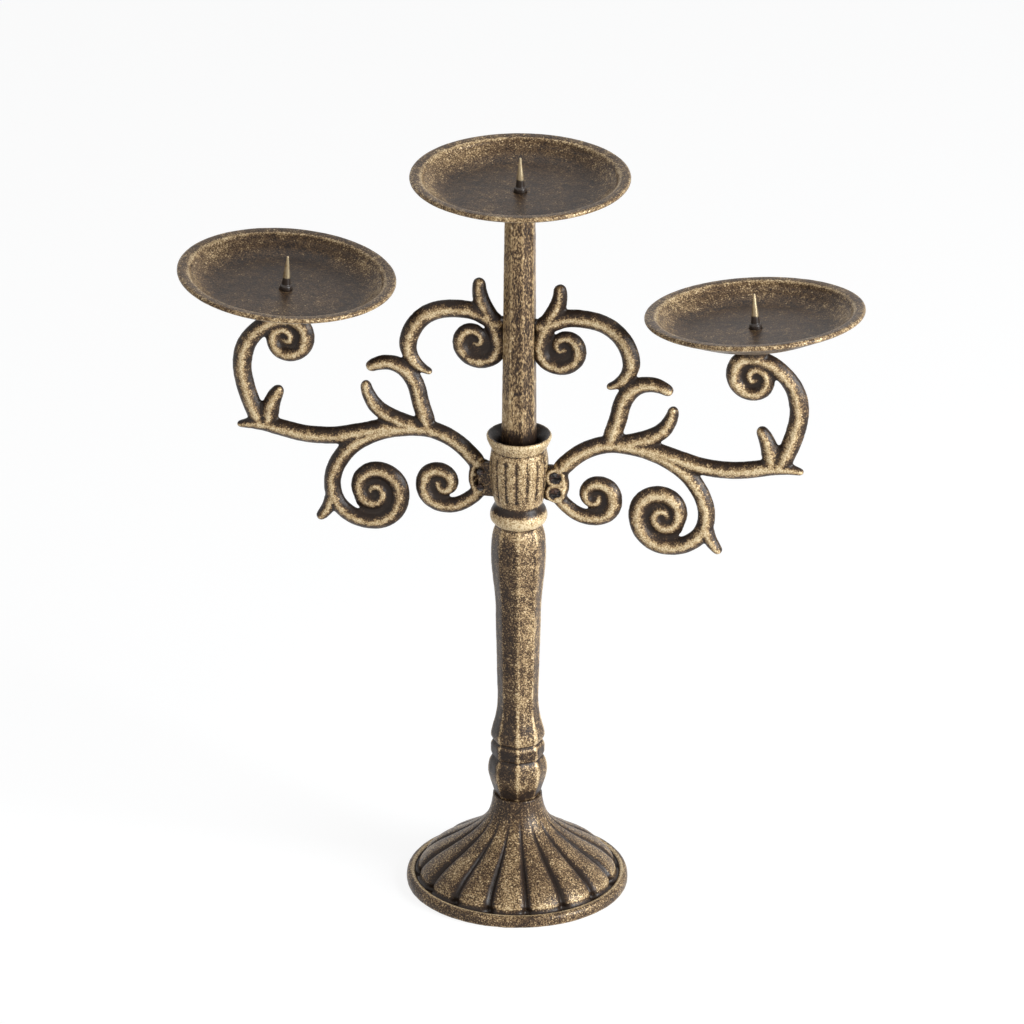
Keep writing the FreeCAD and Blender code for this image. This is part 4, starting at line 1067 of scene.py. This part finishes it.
ears = [
    rounded_block((8.0, 0.05, EAR_LOW), (EAR_REACH, 3.5, EAR_HIGH)),
    rounded_block((-18.6, -2.4, EAR_LOW), (-8.0, -0.05, EAR_HIGH)),
]
add_turned(
    "foot_casting", closed=[foot_surface()], replaced=["foot"], slot_name="bronzed_iron",
    material=FOOT_IRON, seed=3, sky=0.05,
)
add_turned(
    "stem_casting", capped=[(ear, np.full(ear.shape[:2], EAR_GOLD)) for ear in ears],
    closed=[stem_surface()], replaced=["stem"], slot_name="bronzed_iron", material=IRON, seed=5,
)
add_turned(
    "post_casting", capped=[post_surface()], replaced=["post"], slot_name="bronzed_iron",
    material=POST_IRON, seed=7,
)

# %% [markdown]
# ## Melting the arm's bars into one skin
# The bars overlap, as wax strips do on a pattern. A Boolean union could join them, but it is slow
# on curls that graze each other. The voxel remesh keeps only their common outside, and a few
# rounds of relaxing take off the lattice's steps.

# %% Remesh and relax
VOXEL = 0.52
RELAX_ROUNDS = 10


def melted(name, grids, rings):
    """The common outside of all grids, on a lattice of VOXEL millimetres."""
    rough = bpy.data.objects.new(name + "_rough", mesh_from(name + "_rough", grids, rings))
    bpy.context.scene.collection.objects.link(rough)
    remesh = rough.modifiers.new("melt", "REMESH")
    remesh.mode = "VOXEL"
    remesh.voxel_size = VOXEL * MM
    seen = rough.evaluated_get(bpy.context.evaluated_depsgraph_get())
    mesh = bpy.data.meshes.new_from_object(seen)
    mesh.name = name
    bpy.data.objects.remove(rough)
    write_points(mesh, relaxed(mesh, read_points(mesh), RELAX_ROUNDS))
    return mesh


# %% The gold on an arm, with painted shade and a painted highlight
# Painted light among these: the post's shadow on the top volutes, shade on the left arm and its low
# scrolls, and a highlight partly in the crest line.
ARM_GOLD = {
    "plain": 0.14, "crest": 0.48, "line": 0.32, "relief": 0.60,
    "post_shadow": -0.16, "left_arm": -0.05, "low_left_shade": -0.10,
}
# The post's painted shadow: the top volutes next to it get less gold.
POST_SHADOW_REACH = (22.0, 38.0)
POST_SHADOW_HEIGHTS = (235.0, 255.0)
# Painted shade on the left arm, further from the key lamp: its low scrolls lose more gold.
LOW_LEFT_SHADE = (190.0, 215.0)
LOW_LEFT_SHADE_REACH = -45
RECESS_HALF = 1.6


def nearest(places, spots):
    """Each place's nearest spot and its distance, found in blocks of rows to save memory."""
    found = []
    for block in np.array_split(places, len(places) // 2000 + 1):
        squares = ((block[:, None] - spots[None]) ** 2).sum(-1)
        found.append(np.stack([squares.argmin(1), np.sqrt(squares.min(1))], -1))
    near, distance = np.concatenate(found).T
    return near.astype(int), distance


def arm_wear_and_shade(mesh, side):
    """Gold on each bar's crest, by the distance from its middle line over half its width there; less gold
    as painted shade near the post and on the left arm, and a painted highlight along the crest line.
    """
    lines, halves = [], []
    for line, widths in ARM_BARS.values():
        lines.append(smooth_line(arm_points(line), 0.6))
        halves.append(0.5 * BAR_WIDE * widths_along(lines[-1], widths)[1])
    angle = np.linspace(0, tau, 60)
    for z in (SCREW_LOW, SCREW_HIGH):
        circle = np.stack([np.cos(angle), np.sin(angle)], -1)
        lines.append(RECESS_RADIUS * circle + (SCREW_REACH, z))
        halves.append(np.full(len(angle), RECESS_HALF))
    points = read_points(mesh)
    near, distance = nearest(points[:, [0, 2]] * (side, 1), np.concatenate(lines))
    across = distance / np.concatenate(halves)[near]
    facing = smooth_step(np.abs(read_normals(mesh)[:, 1]), 0.15, 0.60)
    post_shadow_share = 1 - smooth_step(np.abs(points[:, 0]), *POST_SHADOW_REACH)
    low_left_shade = (1 - smooth_step(points[:, 2], *LOW_LEFT_SHADE)) * (points[:, 0] < LOW_LEFT_SHADE_REACH)
    return gold_on(ARM_GOLD, {
        "crest": (1 - smooth_step(across, 0.15, 0.95)) * facing,
        # The crest line is dry-brushed gold and partly a painted highlight in pale gold.
        "line": hill(across, 0, 0.22) * facing,
        "relief": stands_out(mesh) - 0.5,
        "post_shadow": post_shadow_share * smooth_step(points[:, 2], *POST_SHADOW_HEIGHTS),
        # Painted shade on the whole left arm.
        "left_arm": side < 0,
        "low_left_shade": low_left_shade,
    })


# %% Both arms from one pattern: the left one is the right one after half a turn
for side, side_name, seed in ((1, "right", 11), (-1, "left", 23)):
    grids, rings = ([grid * (side, side, 1) for grid in part] for part in arm_bars())
    grids.append(seat_boss(SEATS[side_name]))
    mesh = melted(side_name + "_arm_casting", grids, rings)
    add_piece(
        side_name + "_arm_casting", mesh, replaced=[side_name + "_arm"], slot_name="bronzed_iron",
        material=ARM_IRON, seed=seed, wear_and_shade=arm_wear_and_shade(mesh, side),
    )

# %% [markdown]
# ## Pans and prickets
# Each pan is turned: a flat floor, a wall that sweeps up, and a flat lip that falls a little
# inwards. The spike's collar sits in a shallow seat in the middle. One profile serves all three,
# and each is tilted into its own seat, because the real ones lean differently.

# %% The pans' profile, from the hole out along the underside and back over the floor
PAN_FLOOR = 2.2
PAN_LIP = 5.2
PAN_HOLE = 2.1
SEAT_RADIUS = 2.9
SEAT_LOW = 1.5
RIM_HIGH = (PAN_RADIUS - 1.2, PAN_RISE)

pan_profile = outline(
    (PAN_HOLE, 0),
    (1.2, (29.0, 0)),
    (0.4, (31.4, 0.35), (34.0, 1.35), (38.2, 3.1), (42.4, 4.9), (46.4, 6.6),
     (48.9, PAN_RISE - 2.4), (PAN_RADIUS - 0.15, PAN_RISE - 1.6),
     (PAN_RADIUS - 0.05, PAN_RISE - 0.9), (PAN_RADIUS - 0.4, PAN_RISE - 0.25), RIM_HIGH),
    (0.4, (PAN_RADIUS - PAN_LIP + 0.8, PAN_RISE - 0.35),
     (PAN_RADIUS - PAN_LIP - 0.2, PAN_RISE - 0.8), (43.6, 8.0), (42.0, 6.7), (40.0, 5.15),
     (38.0, 3.95), (36.0, 3.1), (33.5, 2.4), (31.0, PAN_FLOOR)),
    (0.9, (SEAT_RADIUS, PAN_FLOOR)),
    (0.4, (SEAT_RADIUS, SEAT_LOW)),
    (0.4, (PAN_HOLE, SEAT_LOW)),
    (0.8, (PAN_HOLE, 0)),
)[:-1]
print("pan outline points:", len(pan_profile))

# %% The pans, each in its own leaning seat
WALL_FROM = (33.0, 41.0)
WALL_TO = (44.0, 45.4)
LIP_FROM = (44.6, 45.6)
PAN_GOLD = {
    "plain": 0.34, "inner": -0.10, "wall": 0.26, "back_wall": -0.12, "lip": 0.16,
    "lip_crest": 0.38, "edge": 0.20, "relief": 0.06,
}


def pan_surface(seat, columns=256):
    """The profile turned, then tilted and lifted into its seat."""
    grid, angle = turned(pan_profile, columns)
    radius, height = pan_profile[:, :1], pan_profile[:, 1:]
    inner = np.arange(len(radius))[:, None] >= np.argmax(height)
    wall = inner * over(radius, WALL_FROM, WALL_TO)
    wear_and_shade = gold_on(PAN_GOLD, {
        "inner": inner,
        "wall": wall,
        "back_wall": wall * np.clip(np.sin(angle), 0, 1) ** 2,
        "lip": inner * smooth_step(radius, *LIP_FROM),
        "lip_crest": inner * hill(radius, PAN_RADIUS - PAN_LIP + 0.2, 0.65),
        "edge": hill(radius, PAN_RADIUS - 0.4, 0.7),
        "relief": standing_line(pan_profile, 1.6, 0.22),
    })
    return placed(grid, seat), np.clip(wear_and_shade, 0, 1)


for side_name, seed in (("left", 31), ("centre", 37), ("right", 43)):
    add_turned(
        side_name + "_pan_casting", closed=[pan_surface(SEATS[side_name])],
        replaced=[side_name + "_pan"], slot_name="bronzed_iron", material=PAN_IRON, seed=seed,
        height=0.06, sky=0.0,
    )

# %% [markdown]
# ## The prickets
# The spike is brass coloured and worn bright, with paint left on its collar. It is turned like
# the pans, from the stud in the pan's hole up to the blunted tip.

# %% The spike's profile
SPIKE_RADIUS = 2.1
COLLAR_RADIUS = 2.8
COLLAR_HIGH = 4.6
TIP_RADIUS = 0.45
TIP_LOW = SPIKE_TOP - 0.25
STUD_RADIUS = 2.0
STUD_BEVEL = 0.4
AXIS = 0.02

spike_profile = outline(
    (AXIS, -STUD_DEEP),
    (0.4, (STUD_RADIUS - STUD_BEVEL, -STUD_DEEP)),
    (0.3, (STUD_RADIUS, STUD_BEVEL - STUD_DEEP)),
    (0.8, (STUD_RADIUS, SEAT_LOW)),
    (0.35, (COLLAR_RADIUS, SEAT_LOW)),
    (0.25, (COLLAR_RADIUS, COLLAR_HIGH - 0.9), (COLLAR_RADIUS - 0.3, COLLAR_HIGH - 0.2),
     (SPIKE_RADIUS, COLLAR_HIGH)),
    (0.4, (TIP_RADIUS, TIP_LOW)),
    (0.15, (0.3, SPIKE_TOP), (AXIS, SPIKE_TOP)),
)
print("spike outline points:", len(spike_profile))


def spike_surface(seat, columns=64):
    """The profile turned into its seat, painted on the collar and bare above it."""
    grid, angle = turned(spike_profile, columns)
    bare = smooth_step(spike_profile[:, 1:], COLLAR_HIGH + 0.8, COLLAR_HIGH + 6.0)
    return placed(grid, seat), bare + 0 * angle


# %% The brass and the three prickets
PAINTED_BRASS = colour(52, 42, 36)
BARE_BRASS = colour(190, 172, 138)
BROWN_STAIN = colour(146, 118, 80)
STAIN_SIZE = 2.2
SCRATCH_SIZE = 0.5
SCRATCH_DEEP = 0.1
BARE_EDGE = (0.0, 0.35)
STAIN_EDGE = (0.35, 0.55)


def worn_brass(name):
    """Brass with brown stain where the brush of paint caught it; the collar stays painted."""
    kit = Kit(bpy.data.materials.new(name))
    place = kit.place()
    stain = kit.noise(place, STAIN_SIZE, 3.0, 0.6)
    scratch = kit.noise(place, SCRATCH_SIZE, 2.0, 0.6)
    bare = (kit.attribute("wear_and_shade") * 1.3 + stain * 0.8 - 0.95).between(*BARE_EDGE)
    stained = (stain - 0.15).between(*STAIN_EDGE) * bare * 0.7
    tone = kit.mix(bare, PAINTED_BRASS, BARE_BRASS)
    tone = kit.mix(stained, tone, BROWN_STAIN)
    shader = kit.node("ShaderNodeBsdfPrincipled", None, {
        "Base Color": tone,
        "Metallic": bare * 0.6,
        "Roughness": 0.36 + (scratch - 0.5) * 0.3,
        "Normal": kit.bump(scratch, 0.4, SCRATCH_DEEP),
    })
    return kit.finish(shader)


BRASS = worn_brass("pricket_brass")
for side_name in ("left", "centre", "right"):
    add_turned(
        side_name + "_pricket_pin", capped=[spike_surface(SEATS[side_name])],
        replaced=[side_name + "_pricket"], slot_name="pricket_brass", material=BRASS, seed=3,
        height=0.02,
    )

# %% [markdown]
# ## Screws, pin, rod and nut
# Their CAD shapes are right as they are, so only their finish is new: blackened steel with rubbed
# spots and a little brown dust of rust. Two noises of different size say where each of them lies.

# %% Blackened steel on the hardware
BLACKENED = colour(40, 37, 36)
RUBBED_STEEL = colour(96, 92, 90)
RUST = colour(92, 58, 38)
RUBBED_SIZE = 1.4
RUST_SIZE = 3.5
RUBBED_EDGE = (0.48, 0.66)
RUST_EDGE = (0.52, 0.68)


def blackened_steel(name):
    """Dark steel: rubbed spots are paler and smoother, rust is brown, rough and less metallic."""
    kit = Kit(bpy.data.materials.new(name))
    place = kit.place()
    rubbed = kit.noise(place, RUBBED_SIZE, 3.0, 0.6).between(*RUBBED_EDGE)
    rust = kit.noise(place, RUST_SIZE, 3.0, 0.65).between(*RUST_EDGE)
    tone = kit.mix(rubbed, BLACKENED, RUBBED_STEEL)
    tone = kit.mix(rust * 0.7, tone, RUST)
    shader = kit.node("ShaderNodeBsdfPrincipled", None, {
        "Base Color": tone,
        "Metallic": 0.85 - rust * 0.6,
        "Roughness": 0.45 + rust * 0.3 - rubbed * 0.1,
        "Normal": kit.bump(kit.noise(place, SCRATCH_SIZE, 2.0), 0.4, SCRATCH_DEEP),
    })
    return kit.finish(shader)


STEEL = blackened_steel("blackened_steel")
for name in ("lug_screws", "arm_dowel", "tie_rod", "tie_washer", "tie_nut"):
    for material_slot in nodes[name].material_slots:
        material_slot.material = STEEL
    print(name, "keeps its CAD shape")

# %% [markdown]
# ## Floor, light and camera
# The photo is a cut-out on white, so the floor and the world look white to the camera. A bright
# backdrop would do that too, but would light the object from all sides. So both are white only
# for rays from the camera and for those that metal or glass send on. The light comes from the
# right, as the bright facets there show, with a weak warm fill from the front left and a weak
# lamp overhead.

# %% A pale floor that keeps the shadow
WHITE = (1, 1, 1, 1)
FLOOR_HALF = 6
FLOOR_PAINT = colour(246, 246, 246)
FLOOR_GLOW = 1.1
GLOW_SHARE = 0.8


def seen_rays(kit):
    """1 for rays from the camera and for those sent on by metal or glass."""
    seen = kit.node("ShaderNodeLightPath", output="Is Camera Ray")
    for ray in ("Is Glossy Ray", "Is Transmission Ray"):
        seen = seen.joined("MAXIMUM", kit.node("ShaderNodeLightPath", output=ray))
    return seen


def pale_floor():
    """The camera sees mostly the floor's own light, and the lit rest keeps the shadow."""
    kit = Kit(bpy.data.materials.new("pale_floor"))
    paint = kit.node("ShaderNodeBsdfPrincipled", None, {"Base Color": FLOOR_PAINT, "Roughness": 0.9})
    glow = kit.node("ShaderNodeEmission", None, {"Color": WHITE, "Strength": FLOOR_GLOW})
    share = seen_rays(kit) * GLOW_SHARE
    return kit.finish(kit.node("ShaderNodeMixShader", None, {0: share, 1: paint, 2: glow}))


floor_mesh = bpy.data.meshes.new("floor")
corners = [(x * FLOOR_HALF, y * FLOOR_HALF, 0) for x, y in ((-1, -1), (1, -1), (1, 1), (-1, 1))]
floor_mesh.from_pydata(corners, [], [(0, 1, 2, 3)])
floor_mesh.materials.append(pale_floor())
floor = bpy.data.objects.new("floor", floor_mesh)
bpy.context.scene.collection.objects.link(floor)

# %% The world: soft light on the object, white to the camera
SKY = (0.93, 0.96, 1.0, 1)
SKY_STRENGTH = 0.17

world = bpy.data.worlds.new("studio")
bpy.context.scene.world = world
kit = Kit(world)
sky = kit.node("ShaderNodeBackground", None, {"Color": SKY, "Strength": SKY_STRENGTH})
white = kit.node("ShaderNodeBackground", None, {"Color": WHITE, "Strength": 1.0})
shown = kit.node("ShaderNodeMixShader", None, {0: seen_rays(kit), 1: sky, 2: white})
kit.finish(shown, "ShaderNodeOutputWorld")

# %% Three soft boxes
LAMP_AIM = Vector((0, 0, 0.18))


def soft_box(name, place, size, watts, tint=(1, 1, 1)):
    """A rectangular lamp of size metres at place, turned towards LAMP_AIM."""
    lamp = bpy.data.lights.new(name, "AREA")
    lamp.color = tint
    lamp.shape = "RECTANGLE"
    lamp.size, lamp.size_y = size
    lamp.energy = watts
    lamp_object = bpy.data.objects.new(name, lamp)
    lamp_object.location = place
    lamp_object.rotation_euler = (LAMP_AIM - Vector(place)).to_track_quat("-Z", "Y").to_euler()
    bpy.context.scene.collection.objects.link(lamp_object)
    print(name, "lamp", watts, "watts")


soft_box("key", place=(1.40, -0.50, 0.66), size=(0.7, 0.9), watts=36.0, tint=(0.95, 0.98, 1.0))
soft_box("fill", place=(-1.05, -1.55, 0.60), size=(1.0, 1.0), watts=4.5, tint=(1.0, 0.91, 0.80))
soft_box("top", place=(-0.1, 0.5, 1.7), size=(1.0, 0.8), watts=3.5)

# %% The camera, at the photo's own angle
CAMERA_AZIMUTH = radians(11.22)
CAMERA_RISE = radians(25.03)
CAMERA_ROLL = radians(0.25)
CAMERA_DISTANCE = 4.5
CAMERA_TARGET = Vector((0, 0, 0.170))
SENSOR = 36.0
PHOTO_PIXELS = 1024
FOCAL_PIXELS = 9830
SHIFT_RIGHT_PIXELS = -6.6
SHIFT_UP_PIXELS = 35.2

level = cos(CAMERA_RISE)
back = Vector((sin(CAMERA_AZIMUTH) * level, -cos(CAMERA_AZIMUTH) * level, sin(CAMERA_RISE)))
lens = bpy.data.cameras.new("camera")
lens.sensor_width = SENSOR
lens.lens = SENSOR * FOCAL_PIXELS / PHOTO_PIXELS
lens.shift_x = SHIFT_RIGHT_PIXELS / PHOTO_PIXELS
lens.shift_y = SHIFT_UP_PIXELS / PHOTO_PIXELS
lens.clip_end = 50
camera = bpy.data.objects.new("camera", lens)
camera.location = CAMERA_TARGET + back * CAMERA_DISTANCE
facing = back.to_track_quat("Z", "Y").to_matrix()
camera.rotation_euler = (facing @ Matrix.Rotation(CAMERA_ROLL, 3, "Z")).to_euler()
bpy.context.scene.collection.objects.link(camera)
bpy.context.scene.camera = camera
bpy.context.scene.view_settings.view_transform = "Standard"
